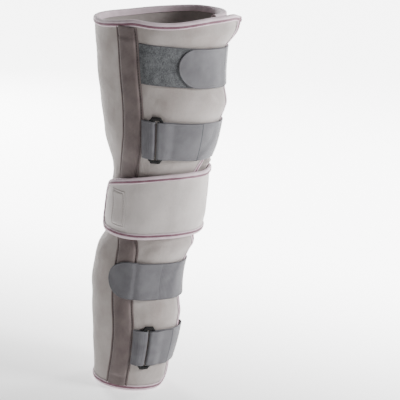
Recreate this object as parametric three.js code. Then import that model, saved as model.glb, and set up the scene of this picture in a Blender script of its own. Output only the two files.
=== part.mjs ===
// A long knee immobilizer for a right leg: a padded wrap with straps across its front.
// Millimetres. +Z runs up the leg, -Y is the front and -X the outer side of the leg.
// Angles are in degrees round the leg: 0 is the front, positive towards the inner side. The wrap
// starts at its front flap's edge, runs down through -90 (outer side), -180 (back) and -270 (inner
// side), and ends lapped under the front flap, a whole turn later.
import * as THREE from "three";

// The wrap
const BRACE_HEIGHT = 508; // to the highest point of the upper rim
const RIM_DIP = 20; // how much lower the upper rim lies at its lowest point
const RIM_PEAK_ANGLE = 20; // where the upper rim is highest
const THIGH_WIDTH = 171; // across the wrap under the uppermost strap
const WRAP_THICKNESS = 5;
const FLAP_ANGLE = 33; // the front flap's free edge
const FLAP_OVERLAP = 48; // how far the hidden flap reaches under the front flap
const LAP_DROP = 9.8; // how far the hidden flap lies below the front flap's face
const LAP_START = -262; // where the wrap begins to sink towards that depth, and where it is there
const LAP_END = -322;
const FLARE = 10; // how far the front flap's upper corner stands away
const FLARE_START = -10;
const CORNER_RADIUS = 26; // the front flap's lower corner
const NOTCH_HEIGHT = 0.53543 * BRACE_HEIGHT; // the middle of the kneecap cut-out
const NOTCH_DEPTH = 38; // degrees
const NOTCH_FLAT = 18; // half of its straight stretch
const NOTCH_SLOPE = 70; // the height of each of its rounded ends
const NOTCH_REACH = -77; // the fabric's columns lean with the cut-out from here on
const NOTCH_ROWS = [0.2, 0.5, 0.85]; // shares of a rounded end where the wrap has rows

// The bound edges
const BINDING_THICKNESS = 0.8;
const BINDING_WIDTH = 10.3;
const CLEARANCE = 0.3;
const BINDING_GAP = 0.5; // between a binding and the fabric in it
const INSET = BINDING_THICKNESS + BINDING_GAP; // how far a binding stands out from the fabric

// The stay pockets
const POCKET_WIDTH = 30;
const POCKET_RISE = 4;
const POCKET_SIDE_GAP = 3; // between a pocket's long edge and the straps that end at it
const POCKET_CLEARANCE = 0.6; // under a pocket
const POCKET_EDGE_SHARE = 0.35; // of the rise, left at the pocket's long edges
const POCKET_END_GAP = 3; // between a pocket's end and the binding
const MEDIAL_POCKET_ANGLE = -272;

// The straps
const STRAP_WIDTH = 50;
const STRAP_THICKNESS = 1.6;
const STRAP_PINCH = 4; // how deep the tightest strap presses into the wrap
const PINCH_MARGIN = 2; // the pressed band is wider than the strap by this on each side
const PINCH_FADE = 18;
const PINCH_TURN = 30; // degrees beside a pocket in which a strap begins to press
const LOOP_STRIP_END = 14; // where the fuzzy strip under the uppermost strap ends
const STEP_DOWN = 24; // degrees that a strap takes to step off the front flap
const STRAP_1_TIP = -38;
const STRAP_3_TIP = -89;

// The loop buckles
const BUCKLE_WINDOW = 8.4;
const BUCKLE_BAR = 4.5;
const BUCKLE_THICKNESS = 3;
const BUCKLE_END = 6; // past the strap's edge
const BUCKLE_CHAMFER = 2;
const SLOT_ROOM = 1; // at each end of the strap in its slot
const TAIL_SETTLE = 14; // the length in which a folded strap comes down behind the bar

// The knee wrap
const KNEE_WRAP_HEIGHT = 0.18307 * BRACE_HEIGHT;
const KNEE_WRAP_BOTTOM = 0.41929 * BRACE_HEIGHT;
const KNEE_WRAP_THICKNESS = 2.4;
const KNEE_WRAP_GAP = 1.1; // more than a strap's to what it covers
const KNEE_WRAP_TIP = -141;
const KNEE_WRAP_TAPER = 33; // how much lower its upper edge is at the rounded end
const KNEE_WRAP_BEND = 1.6; // the power with which it gets lower
const KNEE_WRAP_LEVEL_TO = -15; // its upper edge is level from the inner side to here
const KNEE_WRAP_RISE = 6; // how much higher its lower edge is at the front
const KNEE_WRAP_RISE_START = -90;
const KNEE_WRAP_RISE_TURN = 80;
const KNEE_WRAP_CORNER = 24;
const KNEE_BINDING_WIDTH = 8;

// Fineness
const ANGLE_STEP = 10;
const COVER_CLEARANCE = 0.8; // between a band and what it lies on
const COVER_REACH = 14; // a band lies level for this length beside what it crosses, and then
const COVER_FADE = 14; // comes down in this one
const POCKET_REACH = 4; // the same beside the outer pocket
const BEND_STEPS = 6;
const BEVEL_STEPS = 5;
const STRAP_ROWS = 3;
const HIDDEN_COLUMNS = 4;
const LEAST_ROW = 4; // the least height between two rows of the wrap
const LEAST_STEP = 2.5; // the least turn between two stations, in degrees
const POCKET_COLUMNS = 4;
const KNEE_WRAP_ROWS = 8;
const UPPER_SHARES = [0.65, 1]; // rows between the uppermost strap and the rim

// Sections of the wrap. Height as a share of BRACE_HEIGHT; width, depth, forward and outward as
// shares of THIGH_WIDTH, where forward and outward place the section's middle.
const SECTIONS = [
  { height: 0.0, width: 0.565, depth: 0.565, forward: -0.022, outward: 0.017 },
  { height: 0.04, width: 0.59, depth: 0.59, forward: -0.02, outward: 0.015 },
  { height: 0.1, width: 0.642, depth: 0.642, forward: -0.01, outward: 0.008 },
  { height: 0.167, width: 0.69, depth: 0.69, forward: -0.008, outward: 0.006 },
  { height: 0.234, width: 0.701, depth: 0.701, forward: -0.023, outward: 0.012 },
  { height: 0.301, width: 0.694, depth: 0.694, forward: -0.027, outward: 0.013 },
  { height: 0.368, width: 0.7, depth: 0.7, forward: -0.004, outward: 0.004 },
  { height: 0.41, width: 0.694, depth: 0.694, forward: 0.036, outward: -0.015 },
  { height: 0.49, width: 0.69, depth: 0.69, forward: 0.057, outward: -0.021 },
  { height: 0.583, width: 0.715, depth: 0.715, forward: 0.063, outward: -0.023 },
  { height: 0.663, width: 0.86, depth: 0.86, forward: 0.063, outward: -0.021 },
  { height: 0.772, width: 0.947, depth: 0.947, forward: 0.048, outward: -0.016 },
  { height: 0.866, width: 0.982, depth: 0.982, forward: 0.016, outward: -0.006 },
  { height: 0.959, width: 1.018, depth: 1.018, forward: 0.0, outward: 0.0 },
  { height: 1.0, width: 1.041, depth: 1.041, forward: 0.0, outward: 0.0 },
];

// The four straps. Height of the middle as a share of BRACE_HEIGHT, pinch as a share of
// STRAP_PINCH, and the angles of the buckle's slot and of the folded strap's end.
const STRAPS = [
  { height: 0.873, pinch: 1 },
  { height: 0.686, pinch: 1, buckle: -58, tail: -11 },
  { height: 0.31, pinch: 0.6 },
  { height: 0.13, pinch: 0.6, buckle: -36.5, tail: 0 },
];

// The height above which the wrap's rows follow the dip of the upper rim
const LEVEL_TOP = STRAPS[0].height * BRACE_HEIGHT + STRAP_WIDTH / 2 + PINCH_MARGIN;

// The outer pocket's middle. Height as a share of BRACE_HEIGHT.
const POCKET_LINE = [
  { height: 0, angle: -74 },
  { height: 0.09, angle: -70.5 },
  { height: 0.19, angle: -69.2 },
  { height: 0.26, angle: -70.4 },
  { height: 0.34, angle: -71.5 },
  { height: 0.38, angle: -74.5 },
  { height: 0.42, angle: -84 },
  { height: 0.5, angle: -91.5 },
  { height: 0.58, angle: -92 },
  { height: 0.65, angle: -84 },
  { height: 0.7, angle: -80.9 },
  { height: 0.83, angle: -81 },
  { height: 0.92, angle: -82 },
  { height: 1, angle: -85.5 },
];

const LOOKS = {
  wrap: { color: 0xb5aea9, roughness: 0.9 },
  pocket: { color: 0x6c6360, roughness: 0.95 },
  strap: { color: 0x8a8c8e, roughness: 0.8 },
  pile: { color: 0x6f7072, roughness: 1 },
  binding: { color: 0xd5c5c9, roughness: 0.85 },
  buckle: { color: 0x18181a, roughness: 0.4 },
};

const radians = THREE.MathUtils.degToRad;
const degrees = THREE.MathUtils.radToDeg;
const clamp = THREE.MathUtils.clamp;

function smooth(x) {
  return THREE.MathUtils.smoothstep(x, 0, 1);
}

// A column of a table at a height, on one smooth curve through its rows.
function alongTable(rows, key, height) {
  const at = clamp(height / BRACE_HEIGHT, 0, 1);
  const last = rows.length - 2;
  const i = clamp(rows.findIndex((row) => row.height > at) - 1, 0, last);
  const k = at >= rows[last + 1].height ? last : i;
  const before = rows[Math.max(k - 1, 0)];
  const [a, b] = [rows[k], rows[k + 1]];
  const after = rows[Math.min(k + 2, last + 1)];
  const span = b.height - a.height;
  const t = (at - a.height) / span;
  const slopeA = ((b[key] - before[key]) / (b.height - before.height)) * span;
  const slopeB = ((after[key] - a[key]) / (after.height - a.height)) * span;
  const [t2, t3] = [t * t, t * t * t];
  return (
    (2 * t3 - 3 * t2 + 1) * a[key] +
    (t3 - 2 * t2 + t) * slopeA +
    (3 * t2 - 2 * t3) * b[key] +
    (t3 - t2) * slopeB
  );
}

// How deep the straps press the wrap in. They run from the outer pocket over the front to the
// inner pocket.
function pinchAt(angle, height) {
  const turn = angle < FLAP_ANGLE - 180 ? angle + 360 : angle;
  const fromPocket = turn - pocketAngleAt(height) - turnOf(POCKET_WIDTH / 2, height);
  const toPocket = MEDIAL_POCKET_ANGLE + 360 - turn;
  const along = smooth(fromPocket / PINCH_TURN) * smooth(toPocket / PINCH_TURN);
  let depth = 0;
  for (const strap of STRAPS) {
    const away = Math.abs(height - strap.height * BRACE_HEIGHT) - STRAP_WIDTH / 2 - PINCH_MARGIN;
    depth = Math.max(depth, strap.pinch * STRAP_PINCH * clamp(1 - away / PINCH_FADE, 0, 1));
  }
  return depth * along;
}

function radiusAt(angle, height) {
  const halfWidth = (alongTable(SECTIONS, "width", height) * THIGH_WIDTH) / 2;
  const halfDepth = (alongTable(SECTIONS, "depth", height) * THIGH_WIDTH) / 2;
  const [sine, cosine] = [Math.sin(radians(angle)), Math.cos(radians(angle))];
  return (halfWidth * halfDepth) / Math.hypot(halfDepth * sine, halfWidth * cosine);
}

// How far the wrap sinks on the inner side, to pass under the front flap.
function lapAt(angle) {
  return -LAP_DROP * smooth((LAP_START - angle) / (LAP_START - LAP_END));
}

function flareAt(angle, height) {
  const up = clamp((height - LEVEL_TOP) / (BRACE_HEIGHT - LEVEL_TOP), 0, 1);
  return FLARE * up * clamp((angle - FLARE_START) / (FLAP_ANGLE - FLARE_START), 0, 1);
}

// A point by its angle and height, and its lift above the padded wrap's outer face.
function surfacePoint(angle, height, lift) {
  const outward = radiusAt(angle, height) - pinchAt(angle, height) + flareAt(angle, height) + lift;
  const middleX = alongTable(SECTIONS, "outward", height) * THIGH_WIDTH;
  const middleY = alongTable(SECTIONS, "forward", height) * THIGH_WIDTH;
  return new THREE.Vector3(
    -middleX + outward * Math.sin(radians(angle)),
    -middleY - outward * Math.cos(radians(angle)),
    height,
  );
}

// The angle that a length along the surface takes up at a height.
function turnOf(length, height) {
  return degrees(length / radiusAt(0, height));
}

function rimAt(angle) {
  return BRACE_HEIGHT - (RIM_DIP * (1 - Math.cos(radians(angle - RIM_PEAK_ANGLE)))) / 2;
}

// How far the kneecap cut-out takes the front flap's edge back, in degrees.
function notchAt(height) {
  const away = Math.abs(height - NOTCH_HEIGHT) - NOTCH_FLAT;
  return NOTCH_DEPTH * smooth(1 - away / NOTCH_SLOPE);
}

// What the front flap's rounded lower corner takes off its edge, as a length. The outline is
// inset where the fabric itself ends inside its binding.
function cornerAt(height, inset) {
  const radius = CORNER_RADIUS - inset;
  const down = clamp((CORNER_RADIUS - height) / radius, 0, 1);
  return radius * (1 - Math.sqrt(1 - down * down));
}

// The front flap's edge, with the cut-out and without the rounded corner.
function flapEdgeAt(height) {
  return FLAP_ANGLE - notchAt(height);
}

function hiddenEdgeAt(height) {
  return FLAP_ANGLE - 360 - turnOf(FLAP_OVERLAP, height);
}

// The length along a leaning edge for each unit of height.
function leanOf(edgeAt, height) {
  const rise = 1;
  const change = edgeAt(height + rise) - edgeAt(height - rise);
  return Math.hypot(1, (radians(change) * radiusAt(0, height)) / (2 * rise));
}

// The outer pocket
function pocketAngleAt(height) {
  return alongTable(POCKET_LINE, "angle", height);
}

function medialPocketAngleAt() {
  return MEDIAL_POCKET_ANGLE;
}

// How high a pocket stands at a place given as a share of its half width.
function pocketRiseAt(share) {
  return POCKET_RISE * (1 - (1 - POCKET_EDGE_SHARE) * share * share);
}

// How far a band has stepped down from the front flap to the wrap beside it.
function stepDown(angle) {
  return smooth((angle - FLAP_ANGLE - ANGLE_STEP / 2) / STEP_DOWN) * lapAt(angle - 360);
}

// The lift that keeps a band clear of the front flap's binding and of the step beside it.
function restLift(angle, height) {
  const fromEdge = radians(flapEdgeAt(height) - angle) * radiusAt(angle, height);
  const toFade = fromEdge - BINDING_WIDTH - COVER_REACH;
  return stepDown(angle) + INSET * smooth(1 - toFade / COVER_FADE) + COVER_CLEARANCE;
}

// The further lift that keeps a band clear of the outer pocket.
function pocketLift(angle, height) {
  const half = POCKET_WIDTH / 2;
  const aside = Math.abs(radians(angle - pocketAngleAt(height)) * radiusAt(angle, height));
  if (aside < half) return pocketRiseAt(aside / half);
  return pocketRiseAt(1) * smooth(1 - (aside - half - POCKET_REACH) / COVER_FADE);
}

// Sorted values without near neighbours, which keeps the first and the last.
function spaced(values, least) {
  const sorted = [...values].sort((a, b) => a - b);
  const kept = [sorted[0]];
  for (const value of sorted.slice(1, -1))
    if (value - kept.at(-1) >= least && sorted.at(-1) - value >= least) kept.push(value);
  return [...kept, sorted.at(-1)];
}

// Angles from one to another with the whole steps between them.
function stations(from, to) {
  const [low, high] = [Math.min(from, to), Math.max(from, to)];
  const values = [low, high];
  const first = Math.ceil(low / ANGLE_STEP) * ANGLE_STEP;
  for (let angle = first; angle < high; angle += ANGLE_STEP) values.push(angle);
  return spaced(values, LEAST_STEP);
}

function evenly(from, to, count) {
  return Array.from({ length: count + 1 }, (_, i) => from + ((to - from) * i) / count);
}

// Meshes
class Faces {
  constructor() {
    this.points = [];
    this.triangles = [];
  }

  point(vector) {
    return this.points.push(vector) - 1;
  }

  grid(rows) {
    return rows.map((row) => row.map((vector) => this.point(vector)));
  }

  quad(a, b, c, d) {
    this.triangles.push(a, b, c, a, c, d);
  }

  // Joins two lines of points, facing to the left of the way from first to second.
  strip(first, second) {
    for (let i = 0; i + 1 < first.length; i++)
      this.quad(first[i], first[i + 1], second[i + 1], second[i]);
  }

  geometry() {
    const positions = this.points.flatMap((v) => [v.x, v.y, v.z]);
    const made = new THREE.BufferGeometry();
    made.setAttribute("position", new THREE.Float32BufferAttribute(positions, 3));
    made.setIndex(this.triangles);
    if (volumeOf(this.points, this.triangles) < 0) made.setIndex([...this.triangles].reverse());
    made.computeVertexNormals();
    return made;
  }
}

function volumeOf(points, triangles) {
  let total = 0;
  const cross = new THREE.Vector3();
  for (let i = 0; i < triangles.length; i += 3) {
    const [a, b, c] = triangles.slice(i, i + 3).map((k) => points[k]);
    total += a.dot(cross.crossVectors(b, c)) / 6;
  }
  return total;
}

// A closed sheet between two grids of points of the same size.
function sheetBetween(outside, inside) {
  const faces = new Faces();
  const [out, back] = [faces.grid(outside), faces.grid(inside)];
  const column = (grid, k) => grid.map((row) => row[k]);
  for (let i = 0; i + 1 < out.length; i++) {
    faces.strip(out[i], out[i + 1]);
    faces.strip(back[i + 1], back[i]);
  }
  const end = out[0].length - 1;
  faces.strip(back[0], out[0]);
  faces.strip(out.at(-1), back.at(-1));
  faces.strip(column(out, 0), column(back, 0));
  faces.strip(column(back, end), column(out, end));
  return faces.geometry();
}

// A closed solid swept through rings of points, with flat ends or joined up as a loop.
function sweep(rings, closed = false) {
  const faces = new Faces();
  const grid = faces.grid(rings);
  const around = (ring) => [...ring, ring[0]];
  for (let i = 0; i + 1 < grid.length; i++) faces.strip(around(grid[i]), around(grid[i + 1]));
  if (closed) faces.strip(around(grid.at(-1)), around(grid[0]));
  return { faces, grid };
}

// The heights of the wrap's level rows
function levelRows() {
  const corner = evenly(0, Math.PI / 2, BEVEL_STEPS).map(
    (turn) => CORNER_RADIUS - (CORNER_RADIUS - INSET) * Math.cos(turn),
  );
  const rows = [NOTCH_HEIGHT];
  for (const strap of STRAPS) {
    const [middle, half] = [strap.height * BRACE_HEIGHT, STRAP_WIDTH / 2 + PINCH_MARGIN];
    rows.push(middle, middle - half, middle + half);
    rows.push(middle - half - PINCH_FADE, middle + half + PINCH_FADE);
  }
  for (const share of NOTCH_ROWS) {
    rows.push(NOTCH_HEIGHT - NOTCH_FLAT - NOTCH_SLOPE * share);
    rows.push(NOTCH_HEIGHT + NOTCH_FLAT + NOTCH_SLOPE * share);
  }
  const inside = rows.filter((z) => z > CORNER_RADIUS && z < LEVEL_TOP);
  return [...corner, ...spaced([CORNER_RADIUS, ...inside, LEVEL_TOP], LEAST_ROW).slice(1)];
}

// The heights of the wrap's rows at an angle
function wrapRows(angle) {
  const rise = rimAt(angle) - INSET - LEVEL_TOP;
  return [...levelRows(), ...UPPER_SHARES.map((share) => LEVEL_TOP + share * rise)];
}

// Where the wrap's columns lie: as angles on a wrap whose front edge is straight, and past
// LAP_END as shares of the way to the hidden flap's edge
function wrapColumns() {
  const turns = stations(LAP_END, FLAP_ANGLE).reverse();
  return [
    ...turns.map((angle) => ({ angle, hidden: 0 })),
    ...evenly(0, 1, HIDDEN_COLUMNS).slice(1).map((hidden) => ({ angle: LAP_END, hidden })),
  ];
}

// The front flap's columns lean with its cut-out and its rounded corner.
function columnAngle(column, height) {
  const end = hiddenEdgeAt(height) + turnOf(INSET, height);
  if (column.hidden > 0) return column.angle + (end - column.angle) * column.hidden;
  const inset = turnOf(INSET * leanOf(flapEdgeAt, height), height);
  const corner = turnOf(cornerAt(height, INSET), height);
  const lean = smooth((column.angle - NOTCH_REACH) / (FLAP_ANGLE - NOTCH_REACH));
  return column.angle - (notchAt(height) + inset + corner) * lean;
}

function bodyWrap() {
  const columns = wrapColumns();
  const layer = (lift) =>
    wrapRows(0).map((_, i) =>
      columns.map((column) => {
        const angle = columnAngle(column, wrapRows(column.angle)[i]);
        return surfacePoint(angle, wrapRows(angle)[i], lift + lapAt(angle));
      }),
    );
  return sheetBetween(layer(0), layer(-WRAP_THICKNESS));
}

// A stay pocket: a raised strip, highest along its middle.
function stayPocket(angleAt) {
  const start = BINDING_WIDTH + POCKET_END_GAP;
  const topAngle = angleAt(BRACE_HEIGHT);
  const heights = rowsBetween(start, rimAt(topAngle) - start, topAngle);
  const shares = evenly(-1, 1, POCKET_COLUMNS);
  const layer = (side) =>
    heights.map((height) =>
      shares.map((share) => {
        const angle = angleAt(height) + turnOf((share * POCKET_WIDTH) / 2, height);
        const lift = side > 0 ? pocketRiseAt(share) : POCKET_CLEARANCE;
        return surfacePoint(angle, height, lift + lapAt(angle));
      }),
    );
  return sheetBetween(layer(1), layer(-1));
}

// The wrap's own row heights at an angle, between two ends, for what lies along it.
function rowsBetween(bottom, top, angle) {
  return spaced([bottom, top, ...wrapRows(angle).filter((z) => z > bottom && z < top)], LEAST_ROW);
}

// A strap along a line of places: each has an angle, a distance further along the surface, and
// the lift of the strap's middle plane at a height. halfAt gives half the width at each place.
function strapAlong(places, middle, halfAt = () => STRAP_WIDTH / 2) {
  const shares = evenly(-1, 1, STRAP_ROWS);
  const sideOf = (i) => {
    const before = flatPlace(places[Math.max(i - 1, 0)], middle);
    const after = flatPlace(places[Math.min(i + 1, places.length - 1)], middle);
    return new THREE.Vector2(before.y - after.y, after.x - before.x).normalize();
  };
  const layer = (sign) =>
    places.map((place, i) => {
      const side = sideOf(i).multiplyScalar((sign * STRAP_THICKNESS) / 2);
      return shares.map((share) => {
        const height = middle + share * halfAt(i);
        const angle = place.angle + turnOf((place.along ?? 0) + side.x, height);
        return surfacePoint(angle, height, place.liftAt(height) + side.y);
      });
    });
  return sheetBetween(layer(1), layer(-1));
}

// A place of a strap on a flat drawing of its path: the length along, and the lift.
function flatPlace(place, height) {
  const along = radians(place.angle) * radiusAt(0, height) + (place.along ?? 0);
  return new THREE.Vector2(along, place.liftAt(height));
}

// A place where a strap rests on the wrap, with a further lift.
function resting(angle, more = 0) {
  return { angle, liftAt: (height) => restLift(angle, height) + STRAP_THICKNESS / 2 + more };
}

function held(angle, along, lift) {
  return { angle, along, liftAt: () => lift };
}

const strapMiddle = (strap) => strap.height * BRACE_HEIGHT;
const pocketEdge = (height) =>
  pocketAngleAt(height) + turnOf(POCKET_WIDTH / 2 + POCKET_SIDE_GAP, height);
const medialEdge = (height) =>
  MEDIAL_POCKET_ANGLE + 360 - turnOf(POCKET_WIDTH / 2 + POCKET_SIDE_GAP, height);

// Half the width of a strap along its semicircular end, at a distance in from the tip.
function roundEnd(distance) {
  const radius = STRAP_WIDTH / 2;
  const left = radius - clamp(distance, 0, radius);
  return Math.sqrt(radius * radius - left * left);
}

// Distances in from the tip at even turns round a semicircular end, without the tip itself.
function roundEndSteps() {
  const turns = evenly(0, Math.PI / 2, BEVEL_STEPS).slice(1);
  return turns.map((turn) => (STRAP_WIDTH / 2) * (1 - Math.cos(turn)));
}

// A strap from its round end at an angle to the inner pocket, with a further lift at each angle.
function strapWithRoundEnd(strap, tip, moreAt) {
  const middle = strapMiddle(strap);
  const straightFrom = tip + turnOf(STRAP_WIDTH / 2, middle);
  const round = roundEndSteps().map((d) => ({ angle: tip + turnOf(d, middle), half: roundEnd(d) }));
  const run = stations(straightFrom, medialEdge(middle)).slice(1);
  const ends = [...round, ...run.map((angle) => ({ angle, half: STRAP_WIDTH / 2 }))];
  const places = ends.map(({ angle }) => ({
    angle,
    liftAt: (height) => resting(angle, moreAt(angle, height)).liftAt(height),
  }));
  return strapAlong(places, middle, (i) => ends[i].half);
}

function firstStrapLoop() {
  const middle = strapMiddle(STRAPS[0]);
  const places = stations(pocketEdge(middle), LOOP_STRIP_END).map((angle) => resting(angle));
  return strapAlong(places, middle);
}

function firstStrap() {
  const onLoop = STRAP_THICKNESS + COVER_CLEARANCE;
  const downFrom = LOOP_STRIP_END + ANGLE_STEP / 2;
  const moreAt = (angle) => onLoop * (1 - smooth((angle - downFrom) / ANGLE_STEP));
  return strapWithRoundEnd(STRAPS[0], STRAP_1_TIP, moreAt);
}

function thirdStrap() {
  return strapWithRoundEnd(STRAPS[2], STRAP_3_TIP, pocketLift);
}

// Lifts of the layers at a buckle, to the middle of each layer.
const UNDER_LIFT = COVER_CLEARANCE + STRAP_THICKNESS / 2;
const BAR_LIFT = UNDER_LIFT + STRAP_THICKNESS / 2 + CLEARANCE + BUCKLE_THICKNESS / 2;
const OVER_LIFT = 2 * BAR_LIFT - UNDER_LIFT;

// The turn of a strap round a bar whose inner edge is at `along`; side is 1 for the far bar.
function bendPlaces(angle, along, side) {
  const reach = BAR_LIFT - UNDER_LIFT;
  return evenly(-Math.PI / 2, Math.PI / 2, BEND_STEPS).map((turn) =>
    held(angle, along - side * reach * Math.cos(turn), BAR_LIFT + reach * Math.sin(turn)),
  );
}

// Angles from a place past a buckle's bar; side is 1 towards the inner pocket.
function pastBar(strap, side, further) {
  const along = BUCKLE_WINDOW / 2 + BUCKLE_BAR + further;
  return strap.buckle + side * turnOf(along, strapMiddle(strap));
}

// A short strap from the outer pocket, round the buckle's near bar and back.
function strapAnchor(strap) {
  const middle = strapMiddle(strap);
  const out = stations(pocketEdge(middle), pastBar(strap, -1, CLEARANCE));
  const [atBar, ...back] = [...out].reverse();
  const layer = STRAP_THICKNESS + CLEARANCE;
  const settling = (angle) => {
    const away = radians(atBar - angle) * radiusAt(0, middle);
    return layer + (OVER_LIFT - UNDER_LIFT - layer) * clamp(1 - away / TAIL_SETTLE, 0, 1);
  };
  const places = [
    ...out.map((angle) => resting(angle)),
    ...bendPlaces(strap.buckle, -BUCKLE_WINDOW / 2, -1),
    held(atBar, 0, OVER_LIFT),
    ...back.map((angle) => resting(angle, settling(angle))),
  ];
  return strapAlong(places, middle);
}

// A strap from the inner pocket, through its buckle and folded back over itself.
function foldedStrap(strap) {
  const middle = strapMiddle(strap);
  const settled = pastBar(strap, 1, CLEARANCE + TAIL_SETTLE);
  const atBar = pastBar(strap, 1, CLEARANCE);
  const run = stations(settled, medialEdge(middle)).reverse();
  const back = stations(settled, strap.tail);
  const places = [
    ...run.map((angle) => resting(angle)),
    held(atBar, 0, UNDER_LIFT),
    ...bendPlaces(strap.buckle, BUCKLE_WINDOW / 2, 1),
    held(atBar, 0, OVER_LIFT),
    ...back.map((angle) => resting(angle, STRAP_THICKNESS + CLEARANCE)),
  ];
  return strapAlong(places, middle);
}

// A loop buckle: a flat ring with one window, curved as the wrap is.
function loopBuckle(strap) {
  const middle = strapMiddle(strap);
  const halfSlot = BUCKLE_WINDOW / 2;
  const halfWide = halfSlot + BUCKLE_BAR;
  const halfTall = STRAP_WIDTH / 2 + BUCKLE_END;
  const halfSlotTall = STRAP_WIDTH / 2 + SLOT_ROOM;
  // Round the outline from the lower end of one long side. x is 1 on that side, -1 on the other.
  const ring = (wide, tall, chamfer) => {
    const rows = evenly(-1, 1, STRAP_ROWS).map((share) => (share * STRAP_WIDTH) / 2);
    const side = (x) => [chamfer - tall, ...rows, tall - chamfer].map((z) => [x * wide, x * z]);
    const end = (x) => [wide - chamfer, chamfer - wide].map((across) => [x * across, x * tall]);
    return [...side(1), ...end(1), ...side(-1), ...end(-1)];
  };
  const outer = ring(halfWide, halfTall, BUCKLE_CHAMFER);
  const inner = ring(halfSlot, halfSlotTall, CLEARANCE);
  const place = ([x, z], lift) =>
    surfacePoint(strap.buckle + turnOf(x, middle + z), middle + z, lift);
  const rings = outer.map((point, i) => [
    place(point, BAR_LIFT - BUCKLE_THICKNESS / 2),
    place(point, BAR_LIFT + BUCKLE_THICKNESS / 2),
    place(inner[i], BAR_LIFT + BUCKLE_THICKNESS / 2),
    place(inner[i], BAR_LIFT - BUCKLE_THICKNESS / 2),
  ]);
  return sweep(rings, true).faces.geometry();
}

// The knee wrap's upper and lower edges
function kneeWrapTopAt(angle) {
  const past = (KNEE_WRAP_LEVEL_TO - angle) / (KNEE_WRAP_LEVEL_TO - KNEE_WRAP_TIP);
  const fall = Math.max(past, 0) ** KNEE_WRAP_BEND;
  return KNEE_WRAP_BOTTOM + KNEE_WRAP_HEIGHT - KNEE_WRAP_TAPER * fall;
}

function kneeWrapBottomAt(angle) {
  const rise = smooth((angle - KNEE_WRAP_RISE_START) / KNEE_WRAP_RISE_TURN);
  return KNEE_WRAP_BOTTOM + KNEE_WRAP_RISE * rise;
}

// The knee wrap's outline at an angle, inset from its bound edge: lower and upper height.
function kneeWrapSpan(angle, inset) {
  const middle = KNEE_WRAP_BOTTOM + KNEE_WRAP_HEIGHT / 2;
  const fromTip = radians(angle - KNEE_WRAP_TIP) * radiusAt(0, middle) - inset;
  const radius = KNEE_WRAP_CORNER - inset;
  const left = radius - clamp(fromTip, 0, radius);
  const drop = radius - Math.sqrt(Math.max(radius * radius - left * left, 0));
  return [kneeWrapBottomAt(angle) + inset + drop, kneeWrapTopAt(angle) - inset - drop];
}

function kneeWrapStations(inset) {
  const middle = KNEE_WRAP_BOTTOM + KNEE_WRAP_HEIGHT / 2;
  const radius = KNEE_WRAP_CORNER - inset;
  const turns = evenly(0, Math.PI / 2, BEVEL_STEPS);
  const round = turns.map((turn) => inset + radius * (1 - Math.cos(turn)));
  const corner = round.map((d) => KNEE_WRAP_TIP + turnOf(d, middle));
  return [...corner.slice(0, -1), ...stations(corner.at(-1), medialEdge(middle))];
}

// The lift of the inner face of the knee wrap's binding. The front flap's edge lies furthest back
// in the middle of the cut-out.
function kneeWrapLift(angle, height) {
  return restLift(angle, NOTCH_HEIGHT) + KNEE_WRAP_GAP + pocketLift(angle, height);
}

function kneeWrap() {
  const shares = evenly(0, 1, KNEE_WRAP_ROWS);
  const layer = (lift) =>
    kneeWrapStations(INSET).map((angle) => {
      const [low, high] = kneeWrapSpan(angle, INSET);
      return shares.map((share) => {
        const height = low + (high - low) * share;
        return surfacePoint(angle, height, kneeWrapLift(angle, height) + lift);
      });
    });
  return sheetBetween(layer(INSET + KNEE_WRAP_THICKNESS), layer(INSET));
}

// A U-shaped tape folded over an edge. Each step of the path has an angle, a height, the way in
// from the edge on the surface, and the lifts of the two faces that the tape lies flush with.
function boundEdge(path, width) {
  const wall = BINDING_THICKNESS;
  const rings = path.map(({ angle, height, inward, outerLift, innerLift }) => {
    // Round the edge from the inner face to the outer one, and back inside the tape
    const section = [
      [0, innerLift],
      [width, innerLift],
      [width, innerLift + wall],
      [wall, innerLift + wall],
      [wall, outerLift - wall],
      [width, outerLift - wall],
      [width, outerLift],
      [0, outerLift],
    ];
    return section.map(([depth, lift]) => {
      const z = height + depth * inward.y;
      return surfacePoint(angle + turnOf(depth * inward.x, z), z, lift + lapAt(angle));
    });
  });
  const { faces, grid } = sweep(rings);
  for (const [ring, first] of [[grid[0], true], [grid.at(-1), false]]) {
    const quads = [[0, 1, 2, 3], [0, 3, 4, 7], [4, 5, 6, 7]];
    for (const quad of quads) {
      const corners = quad.map((k) => ring[k]);
      faces.quad(...(first ? corners.reverse() : corners));
    }
  }
  return faces.geometry();
}

const wrapLifts = { outerLift: INSET, innerLift: -WRAP_THICKNESS - INSET };

function topBinding() {
  const from = hiddenEdgeAt(rimAt(FLAP_ANGLE));
  const path = stations(from, FLAP_ANGLE).map((angle) => ({
    angle,
    height: rimAt(angle),
    inward: new THREE.Vector2(0, -1),
    ...wrapLifts,
  }));
  return boundEdge(path, BINDING_WIDTH);
}

function bottomBinding() {
  const cornerAngle = FLAP_ANGLE - turnOf(CORNER_RADIUS, 0);
  const level = stations(hiddenEdgeAt(0), cornerAngle).map((angle) => ({
    angle,
    height: 0,
    inward: new THREE.Vector2(0, 1),
    ...wrapLifts,
  }));
  const round = evenly(0, Math.PI / 2, BEVEL_STEPS).slice(1).map((turn) => {
    const height = CORNER_RADIUS * (1 - Math.cos(turn));
    return {
      angle: FLAP_ANGLE - turnOf(CORNER_RADIUS * (1 - Math.sin(turn)), height),
      height,
      inward: new THREE.Vector2(-Math.sin(turn), Math.cos(turn)),
      ...wrapLifts,
    };
  });
  return boundEdge([...level, ...round], BINDING_WIDTH);
}

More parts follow.
